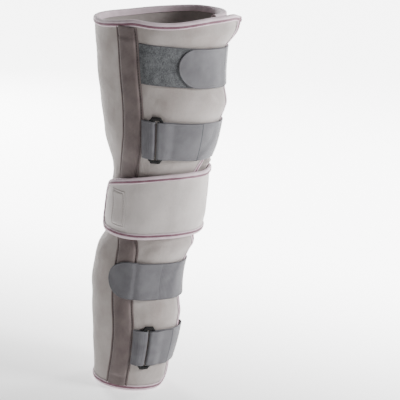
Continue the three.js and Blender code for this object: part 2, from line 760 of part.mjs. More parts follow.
// A binding up one of the wrap's free edges. side is -1 where the fabric lies at lower angles.
function uprightBinding(edgeAt, side, bottom, top) {
  const path = rowsBetween(bottom, top, edgeAt(top)).map((height) => ({
    angle: edgeAt(height),
    height,
    inward: new THREE.Vector2(side * leanOf(edgeAt, height), 0),
    ...wrapLifts,
  }));
  return boundEdge(path, BINDING_WIDTH);
}

function frontEdgeBinding() {
  const top = rimAt(FLAP_ANGLE) - BINDING_WIDTH - CLEARANCE;
  return uprightBinding(flapEdgeAt, -1, CORNER_RADIUS + CLEARANCE, top);
}

function hiddenEdgeBinding() {
  const top = rimAt(FLAP_ANGLE - 360) - BINDING_WIDTH - 2 * CLEARANCE;
  return uprightBinding(hiddenEdgeAt, 1, BINDING_WIDTH + CLEARANCE, top);
}

function kneeWrapBinding() {
  const lifts = (angle, height) => {
    const seat = kneeWrapLift(angle, height);
    return { outerLift: seat + KNEE_WRAP_THICKNESS + 2 * INSET, innerLift: seat };
  };
  const middle = KNEE_WRAP_BOTTOM + KNEE_WRAP_HEIGHT / 2;
  const edge = (angle, height, x, y) => ({
    angle,
    height,
    inward: new THREE.Vector2(x, y).normalize(),
    ...lifts(angle, height),
  });
  const corner = (turn, up) => {
    const along = KNEE_WRAP_CORNER * (1 - Math.cos(turn));
    const angle = KNEE_WRAP_TIP + turnOf(along, middle);
    const [low, high] = kneeWrapSpan(angle, 0);
    return edge(angle, up > 0 ? high : low, Math.cos(turn), -up * Math.sin(turn));
  };
  const straightFrom = KNEE_WRAP_TIP + turnOf(KNEE_WRAP_CORNER, middle);
  const run = stations(straightFrom, medialEdge(middle)).slice(1);
  const turns = evenly(0, Math.PI / 2, BEVEL_STEPS);
  const path = [
    ...[...run].reverse().map((angle) => edge(angle, kneeWrapTopAt(angle), 0, -1)),
    ...[...turns].reverse().map((turn) => corner(turn, 1)),
    ...turns.map((turn) => corner(turn, -1)),
    ...run.map((angle) => edge(angle, kneeWrapBottomAt(angle), 0, 1)),
  ];
  return boundEdge(path, KNEE_BINDING_WIDTH);
}

// The assembly
const brace = new THREE.Group();

function add(name, geometry, look) {
  const mesh = new THREE.Mesh(geometry, new THREE.MeshStandardMaterial(look));
  mesh.name = name;
  brace.add(mesh);
}

add("body_wrap", bodyWrap(), LOOKS.wrap);
add("top_binding", topBinding(), LOOKS.binding);
add("bottom_binding", bottomBinding(), LOOKS.binding);
add("front_edge_binding", frontEdgeBinding(), LOOKS.binding);
add("hidden_edge_binding", hiddenEdgeBinding(), LOOKS.binding);
add("lateral_stay_pocket", stayPocket(pocketAngleAt), LOOKS.pocket);
add("medial_stay_pocket", stayPocket(medialPocketAngleAt), LOOKS.pocket);
add("strap_1_loop", firstStrapLoop(), LOOKS.pile);
add("strap_1", firstStrap(), LOOKS.strap);
add("strap_2_anchor", strapAnchor(STRAPS[1]), LOOKS.strap);
add("strap_2_buckle", loopBuckle(STRAPS[1]), LOOKS.buckle);
add("strap_2", foldedStrap(STRAPS[1]), LOOKS.strap);
add("knee_wrap", kneeWrap(), LOOKS.wrap);
add("knee_wrap_binding", kneeWrapBinding(), LOOKS.binding);
add("strap_3", thirdStrap(), LOOKS.strap);
add("strap_4_anchor", strapAnchor(STRAPS[3]), LOOKS.strap);
add("strap_4_buckle", loopBuckle(STRAPS[3]), LOOKS.buckle);
add("strap_4", foldedStrap(STRAPS[3]), LOOKS.strap);

// The origin lies under the middle of the whole brace.
const box = new THREE.Box3().setFromObject(brace);
const middle = box.getCenter(new THREE.Vector3());
brace.position.set(-middle.x, -middle.y, -box.min.z);

export default brace;
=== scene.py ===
import math

import bmesh
import bpy
import numpy as np
from mathutils import Matrix, Vector


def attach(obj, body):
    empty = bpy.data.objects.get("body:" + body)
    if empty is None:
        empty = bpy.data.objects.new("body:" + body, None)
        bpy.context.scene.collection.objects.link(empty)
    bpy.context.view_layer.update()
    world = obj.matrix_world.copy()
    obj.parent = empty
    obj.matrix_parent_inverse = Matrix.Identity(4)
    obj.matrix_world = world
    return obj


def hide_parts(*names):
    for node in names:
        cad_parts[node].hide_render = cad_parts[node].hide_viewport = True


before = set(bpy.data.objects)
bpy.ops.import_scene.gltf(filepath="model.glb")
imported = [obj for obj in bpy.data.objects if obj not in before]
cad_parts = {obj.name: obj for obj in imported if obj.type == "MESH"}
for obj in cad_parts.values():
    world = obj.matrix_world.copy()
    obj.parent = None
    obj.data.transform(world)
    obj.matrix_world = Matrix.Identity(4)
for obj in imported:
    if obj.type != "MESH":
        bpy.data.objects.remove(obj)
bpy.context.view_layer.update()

# Lengths are in millimetres and angles in degrees round the leg, 0 at the front and positive
# towards the inner side, until a mesh is made. Heights are above the lower rim.
MM = 0.001
AXIS = (0.08, 2.49)  # where the leg's axis stands in the frame

# The wrap
BRACE_HEIGHT = 508
RIM_DIP = 20
RIM_PEAK_ANGLE = 20
THIGH_WIDTH = 171
WRAP_THICKNESS = 5
FLAP_ANGLE = 33
FLAP_OVERLAP = 48
LAP_DROP = 9.8
LAP_START = -262
LAP_END = -322
FLARE = 6.5
FLARE_START = -10
FLARE_DROP = 6  # how far under the level rows' top it begins
FLARE_RISE = 30
CURL = 4.5  # how far the flap's upper corner curls out
CURL_START = 21
CORNER_RADIUS = 26
NOTCH_HEIGHT = 0.53543 * BRACE_HEIGHT
NOTCH_DEPTH = 38
NOTCH_FLAT = 18
NOTCH_SLOPE = 70
NOTCH_REACH = -77
LOWER_LEAN = 10  # the cloth's free edge lies further back down the shin
LEAN_BELOW = 200
LEAN_FADE = 50
RIM_SINK = 1.4  # how far the cloth's upper rim lies under the solid's

# The bound edges
BINDING_THICKNESS = 0.8
BINDING_WIDTH = 8.4
INSET = 1.3
KNEE_BINDING_WIDTH = 8
STRIPE = (0.46, 0.82)  # the plum stripe, as shares of the binding's width from the edge
STRIPE_RISE = 0.25

# The stay pockets
POCKET_WIDTH = 30
MEDIAL_POCKET_ANGLE = -272
POCKET_HEM = 12

# The straps
STRAP_WIDTH = 50
HALF_STRAP = STRAP_WIDTH / 2
STRAP_THICKNESS = 1.6
STRAP_PINCH = 4
PINCH_MARGIN = 2
PINCH_FADE = 18
PINCH_TURN = 30
LOOP_STRIP_END = 14
STRAP_1_TIP = -38
STRAP_1_SEAM = 16
STRAP_3_TIP = -89
STRAP_3_SEAM = -24.6
STRAP_SLANT = -0.05  # how much lower a strap runs for each degree towards the inner side
SLANT_FROM = -60
SLANT_REACH = (-100, 90)
COVER_CLEARANCE = 0.5
LAYER_GAP = 0.3
COVER_REACH = 14
COVER_FADE = 14
STEP_FROM = 38
STEP_DOWN = 24

# The loop buckles
BUCKLE_WINDOW = 8.4
BUCKLE_BAR = 4.5
BUCKLE_THICKNESS = 3
BUCKLE_END = 6
BUCKLE_TAPER = 2.5
TAIL_SETTLE = 14

# The knee wrap
BAND_HEIGHT = 0.18307 * BRACE_HEIGHT
BAND_BOTTOM = 0.41929 * BRACE_HEIGHT
BAND_THICKNESS = 2.4
BAND_GAP = 1.1
BAND_TIP = -141
BAND_TAPER = 33
BAND_BEND = 1.6
BAND_LEVEL_TO = -15
BAND_RISE = 6
BAND_RISE_START = -90
BAND_RISE_TURN = 80
BAND_CORNER = 24
PATCH_ANGLES = (-106, -86.3)  # the stitched patch at the knee wrap's end
PATCH_HEIGHTS = (227, 274)
PATCH_LEAN = 0.1  # degrees for each millimetre down
PATCH_MIDDLE = (sum(PATCH_ANGLES) / 2, sum(PATCH_HEIGHTS) / 2)


def table(columns, *rows):
    """Rows of values as dictionaries by their columns' names."""
    return [dict(zip(columns.split(), row)) for row in rows]


SECTIONS = table(
    "height width forward outward",
    (0.0, 0.565, -0.022, 0.017),
    (0.04, 0.59, -0.02, 0.015),
    (0.1, 0.642, -0.01, 0.008),
    (0.167, 0.69, -0.008, 0.006),
    (0.234, 0.701, -0.023, 0.012),
    (0.301, 0.694, -0.027, 0.013),
    (0.368, 0.7, -0.004, 0.004),
    (0.41, 0.694, 0.036, -0.015),
    (0.49, 0.69, 0.057, -0.021),
    (0.583, 0.715, 0.063, -0.023),
    (0.663, 0.86, 0.063, -0.021),
    (0.772, 0.947, 0.048, -0.016),
    (0.866, 0.982, 0.016, -0.006),
    (0.959, 1.018, 0.0, 0.0),
    (1.0, 1.041, 0.0, 0.0),
)

STRAPS = [
    dict(height=0.873, pinch=1.0),
    dict(height=0.686, pinch=1.0, buckle=-58, tail=-11),
    dict(height=0.31, pinch=0.6),
    dict(height=0.13, pinch=0.6, buckle=-36.5, tail=0),
]

POCKET_LINE = table(
    "height angle",
    (0.0, -74), (0.09, -70.5), (0.19, -69.2), (0.26, -70.4), (0.34, -71.5), (0.38, -74.5),
    (0.42, -84), (0.5, -91.5), (0.58, -92), (0.65, -84), (0.7, -80.9), (0.83, -81), (0.92, -82),
    (1.0, -85.5),
)


def smooth(x):
    x = np.clip(x, 0, 1)
    return x * x * (3 - 2 * x)


def along_table(rows, column, height):
    """A column of a table at a height, on one smooth curve through its rows."""
    at = np.clip(np.asarray(height, float) / BRACE_HEIGHT, 0, 1)
    places = np.array([row["height"] for row in rows])
    values = np.array([row[column] for row in rows])
    k = np.clip(np.searchsorted(places, at, side="right") - 1, 0, len(rows) - 2)
    before, after = np.maximum(k - 1, 0), np.minimum(k + 2, len(rows) - 1)
    span = places[k + 1] - places[k]
    t = (at - places[k]) / span
    slope_a = (values[k + 1] - values[before]) / (places[k + 1] - places[before]) * span
    slope_b = (values[after] - values[k]) / (places[after] - places[k]) * span
    return (
        (2 * t**3 - 3 * t**2 + 1) * values[k]
        + (t**3 - 2 * t**2 + t) * slope_a
        + (3 * t**2 - 2 * t**3) * values[k + 1]
        + (t**3 - t**2) * slope_b
    )


def radius(height):
    return along_table(SECTIONS, "width", height) * THIGH_WIDTH / 2


def turn_of(length, height):
    """The angle that a length along the surface takes up at a height."""
    return np.degrees(length / radius(height))


def length_of(turn, height):
    return np.radians(turn) * radius(height)


def strap_middle(strap):
    return strap["height"] * BRACE_HEIGHT


LEVEL_TOP = strap_middle(STRAPS[0]) + HALF_STRAP + PINCH_MARGIN


def pocket_angle(height):
    return along_table(POCKET_LINE, "angle", height)


def medial_pocket_angle(height):
    return MEDIAL_POCKET_ANGLE + 0 * np.asarray(height, float)


def from_front(angle):
    """An angle as it is seen from the front: the hidden side's are counted on past the flap."""
    return np.where(angle < FLAP_ANGLE - 180, angle + 360, angle)


def press_reach(angle, height):
    """How much the straps press on the wrap at an angle: none on the pockets and behind them."""
    turn = from_front(angle)
    from_pocket = turn - pocket_angle(height) - turn_of(POCKET_WIDTH / 2, height)
    to_pocket = MEDIAL_POCKET_ANGLE + 360 - turn
    return smooth(from_pocket / PINCH_TURN) * smooth(to_pocket / PINCH_TURN)


def slant(angle):
    """How much higher or lower a strap lies at an angle than its middle height."""
    return STRAP_SLANT * (np.clip(angle, *SLANT_REACH) - SLANT_FROM)


def press(angle, height):
    """How deep the straps press the wrap in."""
    depth = 0
    turn = from_front(angle)
    for strap in STRAPS:
        middle = strap_middle(strap) + slant(turn)
        away = abs(height - middle) - HALF_STRAP - PINCH_MARGIN
        share = np.clip(1 - away / PINCH_FADE, 0, 1)
        depth = np.maximum(depth, strap["pinch"] * STRAP_PINCH * share)
    return depth * press_reach(angle, height)


def lap(angle):
    """How far the wrap sinks on the inner side, to pass under the front flap."""
    return -LAP_DROP * smooth((LAP_START - angle) / (LAP_START - LAP_END))


def flare(angle, height):
    up = np.clip((height - LEVEL_TOP + FLARE_DROP) / FLARE_RISE, 0, 1)
    out = FLARE * np.clip((angle - FLARE_START) / (FLAP_ANGLE - FLARE_START), 0, 1)
    curl = CURL * np.clip((angle - CURL_START) / (FLAP_ANGLE - CURL_START), 0, 1) ** 2
    return (out + curl) * (1 - (1 - up) ** 2)


def surface(angle, height, lift):
    """Points in metres at some angles and heights, with a lift above the wrap's outer face."""
    angle, height, lift = np.broadcast_arrays(
        np.asarray(angle, float), np.asarray(height, float), np.asarray(lift, float)
    )
    out = radius(height) - press(angle, height) + flare(angle, height) + lift
    turn = np.radians(angle)
    x = AXIS[0] - along_table(SECTIONS, "outward", height) * THIGH_WIDTH + out * np.sin(turn)
    y = AXIS[1] - along_table(SECTIONS, "forward", height) * THIGH_WIDTH - out * np.cos(turn)
    return np.stack([x, y, height], -1) * MM


RIM_WAVES = table(
    "angle width depth",
    (35, 9, 4.5), (-44, 24, 3.6), (-76, 9, -1.8), (-113, 16, 2.0), (-200, 24, 1.5),
    (-262, 18, -1.2),
)


def rim(angle):
    sag = RIM_SINK + RIM_DIP * (1 - np.cos(np.radians(angle - RIM_PEAK_ANGLE))) / 2
    for wave in RIM_WAVES:
        sag = sag + wave["depth"] * bell(angle - wave["angle"], wave["width"])
    return BRACE_HEIGHT - sag


def notch(height):
    """How far the kneecap cut-out takes the front flap's edge back, in degrees."""
    away = abs(height - NOTCH_HEIGHT) - NOTCH_FLAT
    return NOTCH_DEPTH * smooth(1 - away / NOTCH_SLOPE)


def corner(height, inset):
    """What the front flap's rounded lower corner takes off its edge, as a length."""
    size = CORNER_RADIUS - inset
    down = np.clip((CORNER_RADIUS - height) / size, 0, 1)
    return size * (1 - np.sqrt(1 - down * down))


def flap_edge(height):
    return FLAP_ANGLE - notch(height) - LOWER_LEAN * smooth((LEAN_BELOW - height) / LEAN_FADE)


def hidden_edge(height):
    return FLAP_ANGLE - 360 - turn_of(FLAP_OVERLAP, height)


def lean(edge, height):
    """The length along a leaning edge for each unit of height."""
    change = edge(height + 1) - edge(height - 1)
    return np.hypot(1, length_of(change, height) / 2)


def step_down(angle):
    """How far a band has stepped down from the front flap to the wrap beside it."""
    return smooth((angle - STEP_FROM) / STEP_DOWN) * lap(angle - 360)


def rest_lift(angle, height):
    """The lift that keeps a band clear of the front flap's binding and of the step beside it."""
    from_edge = length_of(flap_edge(height) - angle, height)
    to_fade = from_edge - BINDING_WIDTH - COVER_REACH
    return step_down(angle) + INSET * smooth(1 - to_fade / COVER_FADE) + COVER_CLEARANCE


PITCH_SPREAD = (1.2, 2.6)  # of the crossing waves, as shares of a field's feature size


def waves(a, b, size, seed, count=9):
    """A smooth random field from -1 to 1 with features of a size, from crossing waves."""
    rng = np.random.default_rng(seed)
    total = 0
    for _ in range(count):
        way, phase = rng.uniform(0, 2 * np.pi, 2)
        pitch = 2 * np.pi / (size * rng.uniform(*PITCH_SPREAD))
        total = total + np.sin(pitch * (a * np.cos(way) + b * np.sin(way)) + phase)
    return total / np.sqrt(count)


def dents(a, b, depth, size, seed):
    return depth * waves(a, b, size, seed)


def bell(x, width):
    return np.exp(-((x / width) ** 2))


def pairs(a, b):
    return np.stack(np.broadcast_arrays(a, b), -1)


def quarter(count):
    return np.linspace(0, math.pi / 2, count)


def running(steps):
    """The length along a line up to each of its points, from its steps."""
    return np.concatenate([[0], np.cumsum(steps)])


def left_of(points):
    """The unit directions to the left of a line of flat points."""
    way = np.gradient(points, axis=0)
    way /= np.linalg.norm(way, axis=1)[:, None]
    return np.stack([-way[:, 1], way[:, 0]], -1)


# Meshes


def new_mesh(name, points, faces, materials):
    mesh = bpy.data.meshes.new(name)
    mesh.from_pydata(points.tolist(), [], faces)
    for material in materials:
        mesh.materials.append(material)
    return mesh


def new_object(name, data):
    thing = bpy.data.objects.new(name, data)
    bpy.context.scene.collection.objects.link(thing)
    return thing


def closed_sheet(name, outer, inner, uv, materials, inner_slot=0, slots=None):
    """A closed sheet between two grids of points. slots gives the outer faces' material slots."""
    rows, columns = outer.shape[:2]
    count = rows * columns
    index = np.arange(count).reshape(rows, columns)
    top = np.stack([index[:-1, :-1], index[1:, :-1], index[1:, 1:], index[:-1, 1:]], -1)
    back = top[..., ::-1] + count
    border = np.concatenate([index[0, :-1], index[:-1, -1], index[-1, :0:-1], index[::-1, 0][:-1]])
    following = np.roll(border, -1)
    wall = np.stack([border, following, following + count, border + count], -1)
    faces = np.concatenate([top.reshape(-1, 4), back.reshape(-1, 4), wall])
    quads = (rows - 1) * (columns - 1)
    face_slots = np.zeros(len(faces), int)
    if slots is not None:
        face_slots[:quads] = slots.reshape(-1)
    face_slots[quads : 2 * quads] = inner_slot
    points = np.concatenate([outer.reshape(-1, 3), inner.reshape(-1, 3)])
    mesh = new_mesh(name, points, faces.tolist(), materials)
    mesh.polygons.foreach_set("material_index", face_slots)
    both = np.concatenate([uv.reshape(-1, 2), uv.reshape(-1, 2)]) * MM
    corners = np.empty(len(mesh.loops), int)
    mesh.loops.foreach_get("vertex_index", corners)
    mesh.uv_layers.new(name="cut").data.foreach_set("uv", both[corners].reshape(-1))
    return finished(name, mesh)


def finished(name, mesh, crease_angle=40):
    """An object from a closed mesh, welded, facing out and shaded smooth."""
    bm = bmesh.new()
    bm.from_mesh(mesh)
    bmesh.ops.remove_doubles(bm, verts=bm.verts, dist=1e-6)
    bmesh.ops.dissolve_degenerate(bm, edges=bm.edges, dist=1e-7)
    bmesh.ops.recalc_face_normals(bm, faces=bm.faces)
    bm.to_mesh(mesh)
    bm.free()
    mesh.polygons.foreach_set("use_smooth", [True] * len(mesh.polygons))
    mesh.set_sharp_from_angle(angle=math.radians(crease_angle))
    return new_object(name, mesh)


def place(thing, slot, *nodes):
    """The piece hangs under the root body and stands for CAD nodes if given, which are hidden. slot is
    not used.
    """
    if nodes:
        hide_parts(*nodes)
    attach(thing, "root")


def along_surface(angle, height):
    """Lengths on the flat cut: round the leg and up it."""
    return pairs(length_of(angle, height), height)


# Materials


def linear(colour):
    """A colour such as "b5aea9" as linear red, green and blue."""
    parts = [int(colour[i : i + 2], 16) / 255 for i in (0, 2, 4)]
    return [p / 12.92 if p <= 0.04045 else ((p + 0.055) / 1.055) ** 2.4 for p in parts] + [1]


WAVE_SCALE = 20  # what a wave texture multiplies its scale by


class Shader:
    """A material's node tree, written as nested calls."""

    def __init__(self, name, roughness, **sockets):
        self.material = bpy.data.materials.new(name)
        self.material.use_nodes = True
        self.tree = self.material.node_tree
        self.surface = self.tree.nodes["Principled BSDF"]
        self.surface.inputs["Roughness"].default_value = roughness
        for socket, value in sockets.items():
            self.surface.inputs[socket.replace("_", " ")].default_value = value

    def node(self, kind, values=(), **settings):
        made = self.tree.nodes.new(kind)
        for key, value in settings.items():
            setattr(made, key, value)
        for socket, value in dict(values).items():
            if isinstance(value, bpy.types.NodeSocket):
                self.tree.links.new(value, made.inputs[socket])
            else:
                made.inputs[socket].default_value = value
        return made

    def where(self):
        return self.node("ShaderNodeTexCoord").outputs["Object"]

    def noise(self, size, detail=2, stretch=(1, 1, 1)):
        """Noise from 0 to 1 with features of a size in millimetres."""
        at = self.node("ShaderNodeMapping", {"Vector": self.where(), "Scale": stretch})
        values = {"Vector": at.outputs["Vector"], "Scale": 1 / (size * MM), "Detail": detail}
        return self.node("ShaderNodeTexNoise", values).outputs["Fac"]

    def ribs(self, pitch, direction="X", distortion=0.0):
        """Waves from 0 to 1 across the flat cut, with a pitch in millimetres."""
        cut = self.node("ShaderNodeUVMap", uv_map="cut").outputs["UV"]
        scale = 2 * math.pi / (WAVE_SCALE * pitch * MM)
        values = {"Vector": cut, "Scale": scale, "Distortion": distortion}
        wave = self.node("ShaderNodeTexWave", values, bands_direction=direction)
        return wave.outputs["Fac"]

    def sum(self, a, b):
        return self.node("ShaderNodeMath", {0: a, 1: b}, operation="ADD").outputs[0]

    def times(self, a, b):
        return self.node("ShaderNodeMath", {0: a, 1: b}, operation="MULTIPLY").outputs[0]

    def paint(self, factor, *stops):
        """The base colour, on a ramp from factor through stops of (place, colour)."""
        ramp = self.node("ShaderNodeValToRGB", {"Fac": factor})
        elements = ramp.color_ramp.elements
        while len(elements) < len(stops):
            elements.new(0.5)
        for element, (at, colour) in zip(elements, stops):
            element.position = at
            element.color = linear(colour)
        self.tree.links.new(ramp.outputs["Color"], self.surface.inputs["Base Color"])

    def bump(self, *layers):
        """Layers of (height from 0 to 1, depth in millimetres), one over the other."""
        below = None
        for height, depth in layers:
            values = {"Height": height, "Distance": depth * MM, "Strength": 1.0}
            if below:
                values["Normal"] = below
            below = self.node("ShaderNodeBump", values).outputs["Normal"]
        self.tree.links.new(below, self.surface.inputs["Normal"])


def laminate(name, dark, mid, light):
    """Brushed cloth over foam, with a soft mottle."""
    shader = Shader(name, 0.92, Sheen_Weight=0.25, Sheen_Roughness=0.5)
    broad = shader.noise(34, 3)
    fine = shader.noise(1.6, 4, stretch=(1, 1, 0.5))
    mottle = shader.sum(shader.times(broad, 0.8), shader.times(fine, 0.2))
    shader.paint(mottle, (0.32, dark), (0.5, mid), (0.68, light))
    knit = shader.times(shader.ribs(1.1, "X", 0.6), shader.ribs(1.3, "Y", 0.6))
    shader.bump((knit, 0.1), (shader.noise(0.7, 4), 0.16), (shader.noise(7, 3), 0.35))
    return shader.material


def webbing(name, dark, light, pitch=1.0, depth=0.14, roughness=0.72):
    """Smooth woven strap."""
    shader = Shader(name, roughness, Sheen_Weight=0.15, Sheen_Roughness=0.4)
    weave = shader.times(shader.ribs(pitch, "Y"), shader.ribs(pitch * 1.4, "X"))
    worn = shader.sum(shader.noise(16, 3), shader.times(weave, 0.14))
    shader.paint(worn, (0.35, dark), (0.72, light))
    shader.bump((weave, depth), (shader.noise(0.5, 3), 0.06))
    return shader.material


def pile(name, dark, light):
    """Fuzzy loop pile."""
    shader = Shader(name, 1.0, Sheen_Weight=0.2, Sheen_Roughness=0.6)
    tufts = shader.noise(1.3, 5)
    clumps = shader.noise(7, 3)
    mixed = shader.sum(shader.times(tufts, 0.6), shader.times(clumps, 0.4))
    shader.paint(mixed, (0.38, dark), (0.62, light))
    shader.bump((tufts, 0.7), (shader.noise(0.5, 3), 0.25))
    return shader.material


def knit(name, dark, light):
    """Ribbed knit over the stays."""
    shader = Shader(name, 0.95, Sheen_Weight=0.2, Sheen_Roughness=0.5)
    ribs = shader.times(shader.ribs(1.2, "X"), shader.ribs(1.7, "Y", 0.4))
    worn = shader.sum(shader.noise(22, 3), shader.times(ribs, 0.2))
    shader.paint(worn, (0.35, dark), (0.75, light))
    shader.bump((ribs, 0.18), (shader.noise(0.6, 3), 0.12))
    return shader.material


def plastic(name, colour, light):
    """Black moulded plastic with a fine grain and faint scuffs."""
    shader = Shader(name, 0.5, Specular_IOR_Level=0.25)
    shader.paint(shader.noise(4, 5), (0.5, colour), (0.75, light))
    shader.bump((shader.noise(0.35, 2), 0.02))
    return shader.material


WRAP_CLOTH = laminate("wrap_cloth", "938985", "9f9793", "aaa29f")
LINING = laminate("lining", "8a8280", "958d8a", "a09896")
KNEE_CLOTH = laminate("knee_cloth", "b4adaa", "bfb8b5", "c8c1be")
BINDING_TAPE = webbing("binding_tape", "c6b2ba", "d9c8cf", 0.8, 0.08, 0.85)
PLUM = webbing("plum_stripe", "6c4a56", "82606c", 0.7, 0.1, 0.8)
POCKET_KNIT = knit("pocket_knit", "5c5150", "706563")
STRAP_WEB = webbing("strap_web", "57565a", "646367")
# A lighter copy of the strap web: painted light
STRAP_PAINTED_LIT = webbing("strap_painted_lit", "6e6e71", "7d7d80")
STRAP_SOFT = webbing("strap_soft", "535256", "616064", 1.6, 0.2, 0.8)
LOOP_PILE = pile("loop_pile", "36383b", "636567")
BLACK = plastic("black_plastic", "060607", "101012")
THREAD = webbing("thread", "8a817d", "9c9490", 0.4, 0.05, 0.8)
# A dark webbing for strap edges, a folded strap's end and a seam line: real dark selvedges and hems,
# with painted shadow
DARK_EDGE_AND_SHADOW = webbing("dark_edge_and_shadow", "3c3c3f", "4c4c50", 0.4, 0.05, 0.8)
DARK_THREAD = webbing("dark_thread", "453d3b", "554c49", 0.4, 0.05, 0.8)


# The padded wrap

PUFF = 2.6  # how far the padding swells between the straps
PUFF_REACH = 15
BACK_WAVES = (0.9, 34, 3)  # the depth, size and seed of its dents
FRONT_WAVES = (0.5, 22, 5)
FINE_WAVES = (0.1, 6, 8)
EDGE_FADE = 12  # the padding gets free over this length beside what holds it down
POCKET_FADE = 14
STRAP_FADE = 8
UNCOVERED_FROM, UNCOVERED_FADE = 3, 16
UNCOVERED_NOTCH = 22
INNER_SHARE = 0.35  # how far the inner face follows the outer one
HIDDEN_SWELL = 5  # how far the hidden flap swells out of the cut-out
HIDDEN_START = 2
BAND_MARGIN = 4  # the padding swells from a little under the knee wrap's edges


def band_distance(angle, height):
    """How far a place is from the nearest strap or knee wrap edge, and 0 under them."""
    turn = from_front(angle)
    bands = [(strap_middle(strap) + slant(turn), HALF_STRAP) for strap in STRAPS]
    bands.append((BAND_BOTTOM + BAND_HEIGHT / 2, BAND_HEIGHT / 2 - BAND_MARGIN))
    return np.min([np.clip(abs(height - at) - half, 0, None) for at, half in bands], axis=0)


def uncovered(angle, height):
    """Where the hidden flap shows in the cut-out, from 0 to 1: it swells there."""
    from_edge = length_of(angle + 360 - flap_edge(height), height)
    bare = smooth((from_edge - UNCOVERED_FROM) / UNCOVERED_FADE)
    return bare * smooth(notch(height) / UNCOVERED_NOTCH)


def edge_distance(angle, height):
    """How far a place is from the wrap's bound edges, as a length."""
    ends = np.minimum(height, rim(angle) - height)
    front = length_of(flap_edge(height) - angle, height)
    hidden = length_of(angle - hidden_edge(height), height)
    return np.minimum(ends, np.minimum(front, hidden)) - BINDING_WIDTH


CREASES = table(
    "angle height length way depth width",
    (-67.5, 316, 34, 84, 2.0, 2.6),
    (-61.5, 317, 24, 62, 1.3, 2.6),
    (-73.5, 315, 26, 74, 1.5, 2.4),
    (-52, 404, 34, 20, 0.8, 5.0),
    (8, 398, 40, -25, 1.0, 6.0),
    (-20, 104, 34, 15, 0.8, 5.0),
    (-55, 196, 24, 40, 0.9, 4.5),
    (-128, 330, 60, 25, 1.1, 9.0),
    (-150, 215, 70, -15, 1.4, 10.0),
    (-200, 240, 90, 5, 1.6, 12.0),
    (-185, 290, 80, -8, 1.2, 11.0),
    (-140, 120, 50, 60, 0.7, 8.0),
)


def creases(angle, height):
    """Soft dents: way is the crease's direction on the surface, in degrees from level."""
    total = 0
    for crease in CREASES:
        a = length_of(angle - crease["angle"], height)
        b = height - crease["height"]
        turn = math.radians(crease["way"])
        along = a * math.cos(turn) + b * math.sin(turn)
        across = b * math.cos(turn) - a * math.sin(turn)
        fade = bell(2 * along, crease["length"])
        total = total - crease["depth"] * fade * bell(across, crease["width"])
    return total


def wrap_lift(angle, height):
    """The swell and dents of the padding, none under what holds it down."""
    u = length_of(angle, height)
    free = smooth(edge_distance(angle, height) / EDGE_FADE)
    reach = press_reach(angle, height)
    gap = band_distance(angle, height)
    swell = PUFF * reach * smooth(gap / PUFF_REACH)
    pocket = abs(length_of(angle - pocket_angle(height), height)) - POCKET_WIDTH / 2
    beside = smooth(pocket / POCKET_FADE)
    back = dents(u, height, *BACK_WAVES) * (1 - reach)
    front = dents(u, height, *FRONT_WAVES) * reach * smooth(gap / STRAP_FADE)
    fine = dents(u, height, *FINE_WAVES)
    above = smooth((height - knee_top(angle + 360) - HIDDEN_START) / STRAP_FADE)
    above = above * smooth(gap / STRAP_FADE)
    sunk = -lap(angle) / LAP_DROP * (1 - smooth((angle + 360 - STEP_FROM) / STEP_DOWN))
    knee = (LAP_DROP - LAYER_GAP + HIDDEN_SWELL * above) * sunk * uncovered(angle, height)
    soft = (swell + back + front) * beside + creases(angle, height) + fine
    return free * soft + knee


WRAP_ROWS = 150
# Stretches of the wrap's columns as (from, to, how many), close together at the small creases
WRAP_COLUMNS = [(FLAP_ANGLE, -56, 40), (-56, -80, 44), (-80, LAP_END, 106)]
HIDDEN_COLUMNS = 14


def body_wrap():
    runs = [np.linspace(*stretch, endpoint=False) for stretch in WRAP_COLUMNS]
    turns = np.concatenate(runs + [[LAP_END]])
    hidden = np.linspace(0, 1, HIDDEN_COLUMNS)[1:]
    shares = np.linspace(0, 1, WRAP_ROWS)[:, None]
    height = INSET + shares * (rim(np.concatenate([turns, 0 * hidden + LAP_END])) - 2 * INSET)
    inset = turn_of(INSET * lean(flap_edge, height), height)
    cut = FLAP_ANGLE - flap_edge(height) + inset + turn_of(corner(height, INSET), height)
    leaning = smooth((turns - NOTCH_REACH) / (FLAP_ANGLE - NOTCH_REACH))
    front = turns - cut[:, : len(turns)] * leaning
    last = height[:, len(turns) :]
    end = hidden_edge(last) + turn_of(INSET, last)
    back = LAP_END + (end - LAP_END) * hidden
    angle = np.concatenate([front, back], 1)
    lift = lap(angle)
    swell = wrap_lift(angle, height)
    outer = surface(angle, height, lift + swell)
    inner = surface(angle, height, lift - WRAP_THICKNESS + INNER_SHARE * swell)
    uv = along_surface(angle, height)
    cloths = [WRAP_CLOTH, LINING]
    wrap = closed_sheet("body_wrap_padding", outer, inner, uv, cloths, inner_slot=1)
    place(wrap, "wrap", "body_wrap")


# The bindings

FOLD_DEPTH = 2.8
FOLD_POINTS = 13
PUCKER = 0.14
PUCKER_SIZE = 4
TURN_IN, TURN_WIDTH = 0.7, 0.5  # how a tape's edges turn in towards the cloth
ARM_SLOPE = 0.1
STRIPE_EDGE = (0.4, 0.05)  # how far beside the stripe the tape begins, and how far it dips there


def path_length(angle, height):
    """The length along a path on the surface, at each of its points."""
    return running(np.hypot(length_of(np.diff(angle), height[1:]), np.diff(height)))


def binding_line(width, half):
    """A tape's outer face in section, as (depth from the edge, lift from the middle): along the
    outer arm, round the fold and back along the inner arm. Also the material slots of its faces."""
    low, high = STRIPE[0] * width, STRIPE[1] * width
    beside, under = STRIPE_EDGE
    edge = [(width, half - TURN_IN), (width - TURN_WIDTH, half - ARM_SLOPE)]
    arm = edge + [(high + beside, half - under)]
    stripe = [(high, half + STRIPE_RISE), (low, half + STRIPE_RISE)]
    fold = [
        (FOLD_DEPTH * (1 - math.sin(turn)), half * math.cos(turn))
        for turn in np.linspace(0, math.pi, FOLD_POINTS)
    ]
    back = [(width / 2, -half)] + [(depth, -lift) for depth, lift in reversed(edge)]
    line = np.array(arm + stripe + [(low - beside, half)] + fold + back)
    slots = np.zeros(len(line) - 1, int)
    slots[len(arm)] = 1
    return line, slots


